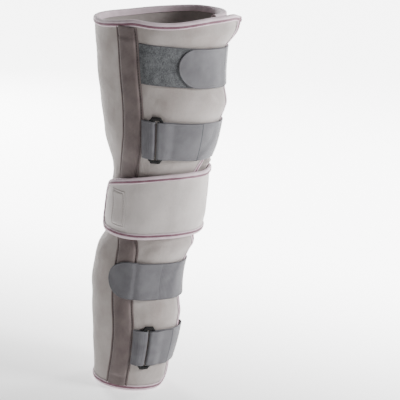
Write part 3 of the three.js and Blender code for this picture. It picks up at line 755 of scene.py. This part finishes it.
def bound_edge(name, node, path, middle, half, width, seed):
    """A tape folded over an edge. Each point of the path has an angle, a height and the way in
    from the edge on the flat cut. middle gives the lift of the middle of what is bound."""
    angle, height, way_u, way_h = (np.array(values, float) for values in zip(*path))
    line, slots = binding_line(width, half)
    run = path_length(angle, height)[:, None]

    def face(section):
        depth, lift = section[:, 0], section[:, 1]
        pucker = PUCKER * waves(run, 2 * depth, PUCKER_SIZE, seed) * np.clip(2 * depth / width, 0, 1)
        z = height[:, None] + depth * way_h[:, None]
        turn = angle[:, None] + turn_of(depth * way_u[:, None], z)
        return surface(turn, z, middle(turn, z) + lift + pucker * np.sign(lift))

    across = path_length(line[:, 0] * 0, line[:, 0]) + path_length(line[:, 1] * 0, line[:, 1])
    tape = closed_sheet(
        name,
        face(line),
        face(line + BINDING_THICKNESS * left_of(line)),
        pairs(run, across),
        [BINDING_TAPE, PLUM],
        slots=np.broadcast_to(slots, (len(path) - 1, len(slots))),
    )
    place(tape, "binding", node)


def wrap_middle(angle, height):
    return lap(angle) - WRAP_THICKNESS / 2


def wrap_binding(name, node, path, seed):
    bound_edge(name, node, path, wrap_middle, WRAP_THICKNESS / 2 + INSET, BINDING_WIDTH, seed)


PATH_STEP = 2.5


def upright_path(edge, side, bottom, top):
    """A path up a free edge. side is -1 where the cloth lies at lower angles."""
    height = np.linspace(bottom, top, int((top - bottom) / PATH_STEP))
    angle = edge(height)
    along = np.stack([np.gradient(np.radians(angle)) * radius(height), np.gradient(height)], -1)
    along /= np.linalg.norm(along, axis=1)[:, None]
    return list(zip(angle, height, side * along[:, 1], -side * along[:, 0]))


CORNER_DROP = 14  # how far the upper rim's tape runs down the front flap's edge
CORNER_TURN = 0.8  # where its level stretch ends, in degrees from that edge
RIM_POINTS, LOWER_POINTS = 260, 230


def top_binding():
    start = hidden_edge(rim(FLAP_ANGLE - 360))
    level = np.linspace(start, FLAP_ANGLE - CORNER_TURN, RIM_POINTS)
    path = [(angle, rim(angle), 0, -1) for angle in level]
    top = rim(FLAP_ANGLE)
    path.append((FLAP_ANGLE - 0.1, top - 0.2, -1, -1))
    path += [(FLAP_ANGLE, top - drop, -1, 0) for drop in np.linspace(0.9, CORNER_DROP, 7)]
    wrap_binding("top_edge_tape", "top_binding", path, 21)


def bottom_binding():
    edge = flap_edge(0)
    corner_angle = edge - turn_of(CORNER_RADIUS, 0)
    level = np.linspace(hidden_edge(0), corner_angle, LOWER_POINTS)[:-1]
    path = [(angle, 0, 0, 1) for angle in level]
    for turn in quarter(20):
        height = CORNER_RADIUS * (1 - math.cos(turn))
        angle = edge - turn_of(CORNER_RADIUS * (1 - math.sin(turn)), height)
        path.append((angle, height, -math.sin(turn), math.cos(turn)))
    wrap_binding("bottom_edge_tape", "bottom_binding", path, 22)


def front_edge_binding():
    top = rim(FLAP_ANGLE) - CORNER_DROP
    path = upright_path(flap_edge, -1, CORNER_RADIUS, top)
    wrap_binding("front_edge_tape", "front_edge_binding", path, 23)


def hidden_edge_binding():
    top = rim(FLAP_ANGLE - 360) - BINDING_WIDTH
    path = upright_path(hidden_edge, 1, BINDING_WIDTH, top)
    wrap_binding("hidden_edge_tape", "hidden_edge_binding", path, 24)


# Stitches

STITCH, STITCH_GAP, STITCH_RADIUS = 2.4, 1.1, 0.32
STITCH_SHAPE = [(0, 0.35), (0.18, 1), (0.82, 1), (1, 0.35)]  # share along, share of the radius
STITCH_SIDES = 5
UPRIGHT_POINTS, LEVEL_POINTS = 160, 60  # of the lines that stitches follow


def at(distance, run, line):
    """The place on a line at a distance along it."""
    return np.array([np.interp(distance, run, line[:, k]) for k in range(3)])


def stitched(name, lines, material, slot):
    """A row of stitches along each line. A line is a row of angles, heights and lifts."""
    turns = np.linspace(0, 2 * math.pi, STITCH_SIDES, endpoint=False)
    points, faces = [], []
    for angle, height, lift in lines:
        line = surface(angle, height, lift)
        high = surface(angle, height, lift + 1)
        run = running(np.linalg.norm(np.diff(line, axis=0), axis=1))
        for start in np.arange(0, run[-1] / MM - STITCH, STITCH + STITCH_GAP) * MM:
            first, last = at(start, run, line), at(start + STITCH * MM, run, line)
            way = (last - first) / np.linalg.norm(last - first)
            up = at(start, run, high) - first
            up /= np.linalg.norm(up)
            side = np.cross(way, up)
            base = len(points)
            for along, wide in STITCH_SHAPE:
                for turn in turns:
                    out = (math.cos(turn) * side + math.sin(turn) * up) * wide * STITCH_RADIUS * MM
                    points.append(first + (last - first) * along + out)
            index = base + np.arange(len(STITCH_SHAPE) * STITCH_SIDES).reshape(-1, STITCH_SIDES)
            following = np.roll(index, -1, 1)
            walls = np.stack([index[:-1], following[:-1], following[1:], index[1:]], -1)
            faces += walls.reshape(-1, 4).tolist() + [index[0, ::-1].tolist(), index[-1].tolist()]
    place(finished(name, new_mesh(name, np.array(points), faces, [material])), slot)


def upright_line(angle_at, bottom, top, lift_at, aside=0.0):
    """A line up the wrap, beside another one."""
    height = np.linspace(bottom, top, UPRIGHT_POINTS)
    angle = angle_at(height) + turn_of(aside, height)
    return angle, height, lift_at(angle, height)


def level_line(height, first, last, lift_at):
    angle = np.linspace(first, last, LEVEL_POINTS)
    height = height + 0 * angle
    return angle, height, lift_at(angle, height)


# The stay pockets

# A pocket's rise above the wrap at distances from its middle: the sewn lip, the stitched groove
# and the flat top over the stay
POCKET_RISES = [
    (-15.0, 0.9), (-14.8, 1.3), (-14.3, 1.5), (-13.6, 1.5), (-13.0, 0.9), (-12.5, 0.55),
    (-11.9, 0.6), (-11.4, 1.6), (-10.8, 2.8), (-9.6, 3.5), (-7.8, 3.9), (-4.0, 4.1), (0, 4.15),
]
POCKET_ROWS = 260
HEM_SHARE, HEM_FADE = 0.5, 5  # the share of a pocket's rise at its sewn ends
HEM_SEAM = (0.8, 0.9)  # the depth and width of the groove across it there
LIP_HALF, LIP_FADE = 13.5, 5
LIP_RISE = 1.5
POCKET_WAVES = (0.25, 26)
POCKET_SOLE = (0.5, 0.4)  # its inner face: the highest rise, and the least thickness


def stay_pocket(name, node, angle_at, seed):
    profile = np.array(POCKET_RISES)
    across, rise = np.concatenate([profile, profile[-2::-1] * (-1, 1)]).T
    start = BINDING_WIDTH - 1
    end = rim(float(angle_at(BRACE_HEIGHT))) - start
    height = np.linspace(start, end, POCKET_ROWS)[:, None]
    from_end = np.minimum(height - start, end - height)
    hem = HEM_SHARE + (1 - HEM_SHARE) * smooth((from_end - POCKET_HEM - 0.5) / HEM_FADE)
    seam = HEM_SEAM[0] * bell(from_end - POCKET_HEM, HEM_SEAM[1])
    inside = np.clip((LIP_HALF - abs(across)) / LIP_FADE, 0, 1)
    wave = dents(across, height, *POCKET_WAVES, seed) * inside
    lip = np.minimum(rise, LIP_RISE)
    top = lip + (rise - lip) * hem - seam * smooth(inside * 2) + wave
    angle = angle_at(height) + turn_of(across, height)
    outer = surface(angle, height, lap(angle) + top)
    highest, least = POCKET_SOLE
    inner = surface(angle, height, lap(angle) + np.minimum(highest, rise - least))
    pocket = closed_sheet(name, outer, inner, pairs(across, height), [POCKET_KNIT])
    place(pocket, "pocket", node)


SEAM_ASIDE = 12.5  # a pocket's stitched groove, from its middle
SEAM_RISE = 0.75


def pocket_stitches(name, angle_at):
    """Stitches down a pocket's two grooves."""
    end = rim(float(angle_at(BRACE_HEIGHT))) - BINDING_WIDTH

    def lift(angle, height):
        return lap(angle) + SEAM_RISE

    lines = [upright_line(angle_at, BINDING_WIDTH, end, lift, s * SEAM_ASIDE) for s in (-1, 1)]
    stitched(name, lines, DARK_THREAD, "pocket")


# The straps

# Half the strap's thickness at distances from its edge: a rounded selvedge, a groove where it is
# stitched, and the flat
EDGE_PROFILE = [(0, 0.3), (0.35, 0.75), (1.0, 0.95), (1.9, 0.95), (2.5, 0.68), (3.1, 0.8), (4.5, 0.8)]
EDGE_DISTANCES = [0, 0.35, 1.0, 1.9, 2.2, 2.5, 2.8, 3.1, 4.5]
SEWN_END = POCKET_WIDTH / 2 - 1  # where a sewn end lies under a pocket's lip, from its middle
SEWN_SINK = 1.3
SEWN_FADE = 8
SHADED_EDGE_COLUMNS = 2  # the columns of a strap's dark edge: a dark selvedge with painted shadow along it
MIDDLE_COLUMNS = 17
STRAP_WAVES = (0.15, 24)


def strap_shares():
    """Places across a strap from -1 to 1, dense at its edges."""
    edge = [-1 + distance / HALF_STRAP for distance in EDGE_DISTANCES]
    inner = np.linspace(edge[-1], -edge[-1], MIDDLE_COLUMNS)[1:-1]
    return np.concatenate([edge, inner, [-share for share in reversed(edge)]])


def outer_end(height):
    return pocket_angle(height) + turn_of(SEWN_END, height)


def inner_end(height):
    return MEDIAL_POCKET_ANGLE + 360 - turn_of(SEWN_END, height)


def sewn(angle, height):
    """How a strap's sewn ends sink under the pockets' lips."""
    gap = turn_of(SEWN_FADE, height)
    outer = smooth(1 - (angle - outer_end(height)) / gap) * (angle > outer_end(height) - 1)
    inner = smooth(1 - (inner_end(height) - angle) / gap)
    return -SEWN_SINK * (outer + inner)


def resting(angle, more=None):
    """A stretch of a strap that rests on the wrap: its angles, lengths further on, and lifts."""

    def lift(turn, height):
        extra = more(turn, height) if more else 0
        return rest_lift(turn, height) + STRAP_THICKNESS / 2 + sewn(turn, height) + extra

    angle = np.asarray(angle, float)
    return angle, 0 * angle, lift


def strap_sheet(name, strap, stretches, materials, half=None, tip=None, slots=None, seed=0):
    """A strap along stretches of places, each with its angles, its lengths further on, and the
    function that gives its lifts. half gives half its width at each place, tip the distances from
    a round end, and slots the material slot of each row of faces."""
    middle = strap_middle(strap)
    shares = strap_shares()
    angle = np.concatenate([stretch[0] for stretch in stretches])
    along = np.concatenate([stretch[1] for stretch in stretches])
    half = np.full(len(angle), HALF_STRAP) if half is None else half
    height = middle + slant(angle[:, None]) + half[:, None] * shares
    ends = np.cumsum([len(stretch[0]) for stretch in stretches])[:-1]
    rows = zip(np.split(angle, ends), np.split(height, ends), stretches)
    lift = np.concatenate([stretch[2](a[:, None], h) for a, h, stretch in rows])
    flat = np.stack([length_of(angle, middle) + along, lift[:, len(shares) // 2]], -1)
    side = left_of(flat)
    from_edge = half[:, None] * (1 - abs(shares))
    if tip is not None:
        centre = np.clip(HALF_STRAP - tip, 0, None)[:, None]
        round_edge = HALF_STRAP - np.hypot(centre, half[:, None] * shares)
        from_edge = np.where(centre > 0, round_edge, from_edge)
    distances, thickness = np.array(EDGE_PROFILE).T
    thick = np.interp(from_edge, distances, thickness)
    run = running(np.linalg.norm(np.diff(flat, axis=0), axis=1))
    wave = dents(run[:, None], height, *STRAP_WAVES, seed)

    def face(sign):
        turn = angle[:, None] + turn_of(along[:, None] + sign * thick * side[:, :1], height)
        return surface(turn, height, lift + wave + sign * thick * side[:, 1:])

    uv = pairs(run[:, None], height)
    kinds = np.zeros((len(angle) - 1, len(shares) - 1), int)
    if slots is not None:
        kinds += slots[:, None]
    # Both edges of a strap get the dark webbing: its selvedge, darkened as painted shadow
    kinds[:, :SHADED_EDGE_COLUMNS] = kinds[:, -SHADED_EDGE_COLUMNS:] = len(materials)
    web = closed_sheet(name, face(1), face(-1), uv, materials + [DARK_EDGE_AND_SHADOW], slots=kinds)
    return web


def dense(first, last, middle, pitch=2.0):
    """Angles from one to another at an even pitch along the surface."""
    count = max(int(abs(length_of(last - first, middle)) / pitch), 2)
    return np.linspace(first, last, count + 1)


ROUND_START, ROUND_POINTS = 0.02, 26
SEAM_ROOM = 0.25  # half the angle between the two points at a seam
SEAM_CLEAR = 0.45  # no other point of the run is nearer to these, in degrees


def round_strap(name, strap, tip_angle, seam, more, materials, seed, line=0):
    """A strap from its round end to the inner pocket. From seam on its second material shows, and
    its third one in a dark line across the seam, where shadow is painted."""
    middle = strap_middle(strap)
    turns = np.linspace(ROUND_START, math.pi / 2, ROUND_POINTS)
    tip = HALF_STRAP * (1 - np.cos(turns))
    half = HALF_STRAP * np.sin(turns)
    angle = tip_angle + turn_of(tip, middle)
    run = dense(angle[-1], inner_end(middle), middle)[1:]
    at_seam = seam + np.array([-1, 1]) * max(line, SEAM_ROOM)
    run = np.sort(np.concatenate([run[abs(run - seam) > line + SEAM_CLEAR], at_seam]))
    angle = np.concatenate([angle, run])
    half, tip = (np.append(values, np.full(len(run), HALF_STRAP)) for values in (half, tip))
    middles = (angle[1:] + angle[:-1]) / 2
    slots = (middles > seam).astype(int)
    slots[abs(middles - seam) < line] = 2
    rest = [resting(angle, more)]
    return strap_sheet(name, strap, rest, materials, half=half, tip=tip, slots=slots, seed=seed)


def first_strap_loop():
    strap = STRAPS[0]
    middle = strap_middle(strap)
    angle = dense(outer_end(middle), LOOP_STRIP_END, middle, pitch=1.0)
    strip = strap_sheet("strap_1_pile", strap, [resting(angle)], [LOOP_PILE], seed=41)
    place(strip, "pile", "strap_1_loop")


SEAM_DEPTH, SEAM_WIDTH = 0.9, 1.2
SHADED_SEAM_LINE = 2.0  # half the dark line across the first strap at its seam, in degrees: stitching with painted shadow
STEP_TURN = 6  # the degrees over which the first strap comes down to the wrap


def first_strap():
    on_loop = STRAP_THICKNESS + COVER_CLEARANCE

    def more(angle, height):
        step = on_loop * (1 - smooth((angle - STRAP_1_SEAM) / STEP_TURN))
        return step - SEAM_DEPTH * bell(length_of(angle - STRAP_1_SEAM, height), SEAM_WIDTH)

    # The strap's end beyond its seam takes the lighter copy of the web as painted light
    cloths = [STRAP_WEB, STRAP_PAINTED_LIT, DARK_EDGE_AND_SHADOW]
    ends = (STRAP_1_TIP, STRAP_1_SEAM)
    web = round_strap("strap_1_web", STRAPS[0], *ends, more, cloths, 42, SHADED_SEAM_LINE)
    place(web, "strap", "strap_1")


OVER_POCKET = 4.2
OVER_FLAT = 4
OVER_FADE = 42


def pocket_lift(angle, height):
    """The further lift that keeps a band clear of the outer pocket."""
    aside = abs(length_of(angle - pocket_angle(height), height))
    return OVER_POCKET * smooth(1 - (aside - OVER_FLAT) / OVER_FADE)


TAB_STEP = 0.8  # how much higher the lowest round strap's end tab stands than its web


def third_strap():
    def more(angle, height):
        tab = TAB_STEP * (1 - smooth((angle - STRAP_3_SEAM + 0.3) / 0.6))
        return pocket_lift(angle, height) + tab

    cloths = [STRAP_WEB, STRAP_SOFT]
    web = round_strap("strap_3_web", STRAPS[2], STRAP_3_TIP, STRAP_3_SEAM, more, cloths, 43)
    place(web, "strap", "strap_3")


UNDER_LIFT = COVER_CLEARANCE + STRAP_THICKNESS / 2
BAR_LIFT = UNDER_LIFT + STRAP_THICKNESS / 2 + LAYER_GAP + BUCKLE_THICKNESS / 2
OVER_LIFT = 2 * BAR_LIFT - UNDER_LIFT
BAR_BULGE = 0.95  # a strap's fold at a bar is flatter than round
FINE_PITCH = 1.5
BAR_POINTS = 18


def round_bar(angle, side):
    """A strap's turn round a buckle's bar: side is 1 for the bar nearer the inner pocket."""
    turns = np.linspace(-math.pi / 2, math.pi / 2, BAR_POINTS)
    reach = BAR_LIFT - UNDER_LIFT
    along = side * (BUCKLE_WINDOW / 2 - BAR_BULGE * reach * np.cos(turns))
    lift = (BAR_LIFT + reach * np.sin(turns))[:, None]
    return 0 * along + angle, along, lambda turn, height: lift + 0 * height


def past_bar(strap, side, further):
    along = BUCKLE_WINDOW / 2 + BUCKLE_BAR + further
    return strap["buckle"] + side * turn_of(along, strap_middle(strap))


def over_bar(strap, side):
    """How far a strap's upper layer stands above the lower one, down from the bar."""

    def more(angle, height):
        away = side * (angle - past_bar(strap, side, LAYER_GAP))
        settle = turn_of(TAIL_SETTLE, strap_middle(strap))
        high = OVER_LIFT - UNDER_LIFT - STRAP_THICKNESS - LAYER_GAP
        return STRAP_THICKNESS + LAYER_GAP + high * (1 - smooth(away / settle))

    return more


def strap_anchor(name, strap, seed):
    """A short strap from the outer pocket, round the buckle's near bar and back."""
    middle = strap_middle(strap)
    out = dense(outer_end(middle), past_bar(strap, -1, LAYER_GAP), middle, FINE_PITCH)
    stretches = [
        resting(out),
        round_bar(strap["buckle"], -1),
        resting(out[::-1], over_bar(strap, -1)),
    ]
    return strap_sheet(name, strap, stretches, [STRAP_SOFT], seed=seed)


SHADED_TAIL_ROWS = 1  # rows of the dark tape that binds a folded strap's end, darkened as a painted shadow line at the end


def folded_strap(name, strap, seed):
    """A strap from the inner pocket, through its buckle and folded back over itself."""
    middle = strap_middle(strap)
    at_bar = past_bar(strap, 1, LAYER_GAP)
    stretches = [
        resting(dense(inner_end(middle), at_bar, middle)),
        round_bar(strap["buckle"], 1),
        resting(dense(at_bar, strap["tail"], middle, FINE_PITCH), over_bar(strap, 1)),
    ]
    slots = np.zeros(sum(len(stretch[0]) for stretch in stretches) - 1, int)
    # The last rows are the dark webbing: a hem with a painted shadow line
    slots[-SHADED_TAIL_ROWS:] = 1
    return strap_sheet(name, strap, stretches, [STRAP_WEB, DARK_EDGE_AND_SHADOW], slots=slots, seed=seed)


# A bar's section, as (share of the way from the window to the outside, share of half the height)
BAR_SECTION = [
    (0, -0.55), (0, 0.55), (0.05, 0.85), (0.16, 1.0), (0.5, 1.06), (0.84, 1.0), (0.95, 0.85),
    (1, 0.55), (1, -0.55), (0.95, -0.85), (0.84, -1.0), (0.16, -1.0), (0.05, -0.85),
]


def loop_outline(half_wide, half_end, half_tall, tall_from, corner):
    """A loop's outline on the flat: straight sides up to tall_from, then ends that narrow to
    half_end, with small rounded corners. It has the same number of points for any size."""
    right = [(half_wide, z) for z in np.linspace(-tall_from, tall_from, 26)]
    steps = np.linspace(0, 1, 5)[1:]
    top = half_tall - corner
    sides = [
        (half_wide + (half_end - half_wide) * t, tall_from + (top - tall_from) * t) for t in steps
    ]
    turns = quarter(6)[1:]
    bends = [
        (half_end - corner * (1 - math.cos(turn)), top + corner * math.sin(turn)) for turn in turns
    ]
    across = [(x, half_tall) for x in np.linspace(half_end - corner, corner - half_end, 7)[1:-1]]
    upper = sides + bends + across
    mirrored = [(-x, z) for x, z in reversed(sides + bends)]
    half = right + upper + mirrored
    return np.array(half + [(-x, -z) for x, z in half])


SLOT_ROOM = 1.6
OUTER_CORNER, SLOT_CORNER = 1.8, 0.8


def loop_buckle(name, strap):
    middle = strap_middle(strap)
    half_slot = BUCKLE_WINDOW / 2
    half_wide = half_slot + BUCKLE_BAR
    tall = HALF_STRAP
    top, slot_top = tall + BUCKLE_END, tall + SLOT_ROOM
    outer = loop_outline(half_wide, half_wide - BUCKLE_TAPER, top, tall + 1, OUTER_CORNER)
    inner = loop_outline(half_slot, half_slot, slot_top, tall - 1, SLOT_CORNER)
    share, up = np.array(BAR_SECTION).T
    flat = inner[:, None] + (outer - inner)[:, None] * share[None, :, None]
    height = middle + slant(strap["buckle"]) + flat[..., 1]
    angle = strap["buckle"] + turn_of(flat[..., 0], height)
    points = surface(angle, height, BAR_LIFT + up * BUCKLE_THICKNESS / 2)
    rows, columns = points.shape[:2]
    index = np.arange(rows * columns).reshape(rows, columns)
    right, over = np.roll(index, -1, 0), np.roll(index, -1, 1)
    faces = np.stack([index, right, np.roll(right, -1, 1), over], -1).reshape(-1, 4)
    return finished(name, new_mesh(name, points.reshape(-1, 3), faces.tolist(), [BLACK]))


def buckled_strap(number, anchor_seed, seed):
    """A strap through a loop buckle, with the buckle and the short strap that holds it."""
    strap, name = STRAPS[number - 1], f"strap_{number}"
    place(strap_anchor(f"{name}_anchor_web", strap, anchor_seed), "strap", f"{name}_anchor")
    place(loop_buckle(f"{name}_loop_buckle", strap), "buckle", f"{name}_buckle")
    place(folded_strap(f"{name}_web", strap, seed), "strap", name)


# The knee wrap

KNEE_MIDDLE = BAND_BOTTOM + BAND_HEIGHT / 2
KNEE_CORNER_POINTS = 22
KNEE_PUFF = 1.1
PATCH_SEAM = 2.2
SEAM_LIFT = -0.1
KNEE_SINK = 2  # how far its upper edge settles over the cut-out
SINK_RISE = 30
SINK_TURNS = (24, 60, 20)  # it fades in up to the first angle, and out over the third before the second
PATCH_RISE, PATCH_EDGE = 0.8, 0.8
PATCH_GROOVE = (0.9, 0.8)  # its depth and width
KNEE_WAVES = (0.45, 22, 51)
KNEE_FADE = 14
BAND_ROWS = 60
PATCH_NEAR, PATCH_ROWS = 0.05, 14  # the denser rows at the patch's ends, as a share of the height
PATCH_MARGIN, PATCH_COLUMNS = 4, 80


def knee_top(angle):
    past = (BAND_LEVEL_TO - angle) / (BAND_LEVEL_TO - BAND_TIP)
    fall = np.clip(past, 0, None) ** BAND_BEND
    return BAND_BOTTOM + BAND_HEIGHT - BAND_TAPER * fall


def knee_bottom(angle):
    rise = smooth((angle - BAND_RISE_START) / BAND_RISE_TURN)
    return BAND_BOTTOM + BAND_RISE * rise


def knee_span(angle, inset):
    """The knee wrap's lower and upper height at an angle, inset from its bound edge."""
    from_tip = length_of(angle - BAND_TIP, KNEE_MIDDLE) - inset
    size = BAND_CORNER - inset
    left = size - np.clip(from_tip, 0, size)
    drop = size - np.sqrt(np.clip(size * size - left * left, 0, None))
    return knee_bottom(angle) + inset + drop, knee_top(angle) - inset - drop


def knee_lift(angle, height):
    """The lift of the inner face of the knee wrap's binding."""
    upper = smooth((height - KNEE_MIDDLE) / SINK_RISE)
    full, gone, fade = SINK_TURNS
    sink = np.clip(sewn(angle, height), None, 0) * (angle > 0)
    sink = sink - KNEE_SINK * upper * smooth(angle / full) * smooth((gone - angle) / fade)
    return rest_lift(angle, NOTCH_HEIGHT) + BAND_GAP + pocket_lift(angle, height) + sink


def patch_lean(height):
    return PATCH_LEAN * (PATCH_MIDDLE[1] - height)


def patch(angle, height):
    """The stitched patch at the knee wrap's end, as a small rise inside a groove."""
    a = length_of(angle - PATCH_MIDDLE[0] - patch_lean(height), KNEE_MIDDLE)
    half_a = length_of(PATCH_ANGLES[1] - PATCH_ANGLES[0], KNEE_MIDDLE) / 2
    b = height - PATCH_MIDDLE[1]
    half_b = (PATCH_HEIGHTS[1] - PATCH_HEIGHTS[0]) / 2
    inside = np.minimum(half_a - abs(a), half_b - abs(b))
    depth, width = PATCH_GROOVE
    rise = PATCH_RISE * smooth(inside / PATCH_EDGE + 0.5)
    return rise - depth * bell(inside - PATCH_SEAM, width)


def band_shares():
    """Rows of the knee wrap as shares of its height, dense at the patch's ends."""
    low, high = knee_span(PATCH_MIDDLE[0], INSET)
    around = np.linspace(-PATCH_NEAR, PATCH_NEAR, PATCH_ROWS)
    near = [(at - low) / (high - low) + around for at in PATCH_HEIGHTS]
    return np.sort(np.concatenate([np.linspace(0, 1, BAND_ROWS), *near]))


def knee_wrap():
    size = BAND_CORNER - INSET
    round_part = INSET + size * (1 - np.cos(quarter(KNEE_CORNER_POINTS)))
    corner_angles = BAND_TIP + turn_of(round_part, KNEE_MIDDLE)
    run = dense(corner_angles[-1], inner_end(KNEE_MIDDLE), KNEE_MIDDLE, pitch=1.6)[1:]
    first, last = PATCH_ANGLES
    at_patch = np.linspace(first - PATCH_MARGIN, last + PATCH_MARGIN, PATCH_COLUMNS)
    beside = run[(run < at_patch[0] - 1) | (run > at_patch[-1] + 1)]
    angle = np.sort(np.concatenate([corner_angles, beside, at_patch]))[:, None]
    low, high = knee_span(angle, INSET)
    height = low + (high - low) * band_shares()
    from_edge = np.minimum(height - low, high - height)
    from_tip = length_of(angle - BAND_TIP, KNEE_MIDDLE)
    inside = smooth((np.minimum(from_edge, from_tip) - KNEE_BINDING_WIDTH + 2) / KNEE_FADE)
    swell = KNEE_PUFF * inside + dents(length_of(angle, height), height, *KNEE_WAVES) * inside
    seat = knee_lift(angle, height)
    outer = surface(angle, height, seat + INSET + BAND_THICKNESS + swell + patch(angle, height))
    inner = surface(angle, height, seat + INSET)
    band = closed_sheet("knee_band", outer, inner, along_surface(angle, height), [KNEE_CLOTH])
    place(band, "wrap", "knee_wrap")


def patch_stitches():
    """The stitched outline at the knee wrap's end."""
    aside = turn_of(PATCH_SEAM, KNEE_MIDDLE)
    first, last = PATCH_ANGLES[0] + aside, PATCH_ANGLES[1] - aside
    bottom, top = PATCH_HEIGHTS[0] + PATCH_SEAM, PATCH_HEIGHTS[1] - PATCH_SEAM

    def lift(angle, height):
        return knee_lift(angle, height) + INSET + BAND_THICKNESS + KNEE_PUFF + SEAM_LIFT

    ends = [(height, patch_lean(height)) for height in (bottom, top)]
    lines = [level_line(height, first + turn, last + turn, lift) for height, turn in ends]
    for at in (first, last):
        lines.append(upright_line(lambda h, at=at: at + patch_lean(h), bottom, top, lift))
    stitched("knee_band_stitches", lines, THREAD, "wrap")


def knee_wrap_binding():
    half = BAND_THICKNESS / 2 + INSET
    straight_from = BAND_TIP + turn_of(BAND_CORNER, KNEE_MIDDLE)
    run = dense(straight_from, inner_end(KNEE_MIDDLE), KNEE_MIDDLE, PATH_STEP)[1:]
    turns = quarter(KNEE_CORNER_POINTS)
    path = [(angle, knee_top(angle), 0, -1) for angle in run[::-1]]
    for turn, up in [(turn, 1) for turn in turns[::-1]] + [(turn, -1) for turn in turns]:
        along = BAND_CORNER * (1 - math.cos(turn))
        angle = BAND_TIP + turn_of(along, KNEE_MIDDLE)
        low, high = knee_span(angle, 0)
        path.append((angle, high if up > 0 else low, math.cos(turn), -up * math.sin(turn)))
    path += [(angle, knee_bottom(angle), 0, 1) for angle in run]

    def middle(angle, height):
        return knee_lift(angle, height) + half

    width = KNEE_BINDING_WIDTH
    bound_edge("knee_band_tape", "knee_wrap_binding", path, middle, half, width, 25)


# The stage and the camera

LENS_ANGLE = 14.9
CAMERA_TURN = -55
CAMERA_RISE = 530
CAMERA_DISTANCE = 2000
CAMERA_ROLL = 5.3
AIM_ASIDE = 67.9
AIM_HEIGHT = 256
# The studio floor glows behind the wrap, more with the distance in metres along the view
NEAR_GLOW, FAR_GLOW = 0.5, 6.5
GLOW_FROM, GLOW_TO = -0.2, 0.7
GLOW_TURN = -72
FLOOR_SIZE = 30
FLOOR_SHADE = 0.9
WORLD_GLOW = 0.2
LIGHT_AIM = (0, 0, 0.26)
# Each light's name, angle, distance, height and size in metres, and watts
LIGHTS = [
    ("key", 20, 2.6, 1.7, 0.8, 96),
    ("left_rim", -208, 1.9, 0.7, 0.5, 50),
    ("right_rim", 85, 2.0, 1.0, 0.6, 30),
]


def stand_at(turn, distance, height):
    return Vector((math.sin(turn) * distance, -math.cos(turn) * distance, height))


def camera():
    turn, roll = math.radians(CAMERA_TURN), math.radians(CAMERA_ROLL)
    axis = Vector((*AXIS, 0))
    aim = axis + Vector((AIM_ASIDE * math.cos(turn), AIM_ASIDE * math.sin(turn), AIM_HEIGHT))
    level = math.sqrt(CAMERA_DISTANCE**2 - CAMERA_RISE**2)
    stand = aim + stand_at(turn, level, CAMERA_RISE)
    forward = (aim - stand).normalized()
    level_right = forward.cross(Vector((0, 0, 1))).normalized()
    level_up = level_right.cross(forward)
    right = level_right * math.cos(roll) + level_up * math.sin(roll)
    up = level_up * math.cos(roll) - level_right * math.sin(roll)
    lens = bpy.data.cameras.new("camera")
    lens.angle = math.radians(LENS_ANGLE)
    eye = new_object("camera", lens)
    axes = Matrix((right, up, -forward)).transposed()
    eye.matrix_world = Matrix.Translation(stand * MM) @ axes.to_4x4()
    bpy.context.scene.camera = eye


def area_light(name, turn, distance, height, size, watts):
    """A square light that looks at the middle of the wrap. Its place is in metres."""
    lamp = bpy.data.lights.new(name, "AREA")
    lamp.size = size
    lamp.energy = watts
    thing = new_object(name, lamp)
    stand = stand_at(math.radians(turn), distance, height)
    thing.location = stand
    look = Vector(LIGHT_AIM) - stand
    thing.rotation_euler = look.to_track_quat("-Z", "Y").to_euler()


def stage():
    bpy.ops.mesh.primitive_plane_add(size=FLOOR_SIZE)
    floor = bpy.context.object
    floor.name = "floor"
    white = Shader("floor_white", 1.0)
    white.surface.inputs["Base Color"].default_value = (FLOOR_SHADE,) * 3 + (1,)
    white.surface.inputs["Emission Color"].default_value = (1, 1, 1, 1)
    turn = math.radians(GLOW_TURN)
    away = white.node(
        "ShaderNodeVectorMath",
        {0: white.where(), 1: (-math.sin(turn), math.cos(turn), 0)},
        operation="DOT_PRODUCT",
    ).outputs["Value"]
    span = {"From Min": GLOW_FROM, "From Max": GLOW_TO, "To Min": NEAR_GLOW, "To Max": FAR_GLOW}
    values = {"Value": away, **span}
    glow = white.node("ShaderNodeMapRange", values, interpolation_type="SMOOTHSTEP")
    white.tree.links.new(glow.outputs["Result"], white.surface.inputs["Emission Strength"])
    floor.data.materials.append(white.material)
    for light in LIGHTS:
        area_light(*light)
    world = bpy.data.worlds.new("pale")
    world.use_nodes = True
    background = world.node_tree.nodes["Background"]
    background.inputs["Color"].default_value = (1, 1, 1, 1)
    background.inputs["Strength"].default_value = WORLD_GLOW
    bpy.context.scene.world = world


body_wrap()
top_binding()
bottom_binding()
front_edge_binding()
hidden_edge_binding()
stay_pocket("outer_stay_pocket", "lateral_stay_pocket", pocket_angle, 31)
stay_pocket("inner_stay_pocket", "medial_stay_pocket", medial_pocket_angle, 32)
pocket_stitches("outer_pocket_stitches", pocket_angle)
pocket_stitches("inner_pocket_stitches", medial_pocket_angle)
first_strap_loop()
first_strap()
buckled_strap(2, 44, 45)
knee_wrap()
patch_stitches()
knee_wrap_binding()
third_strap()
buckled_strap(4, 46, 47)
camera()
stage()
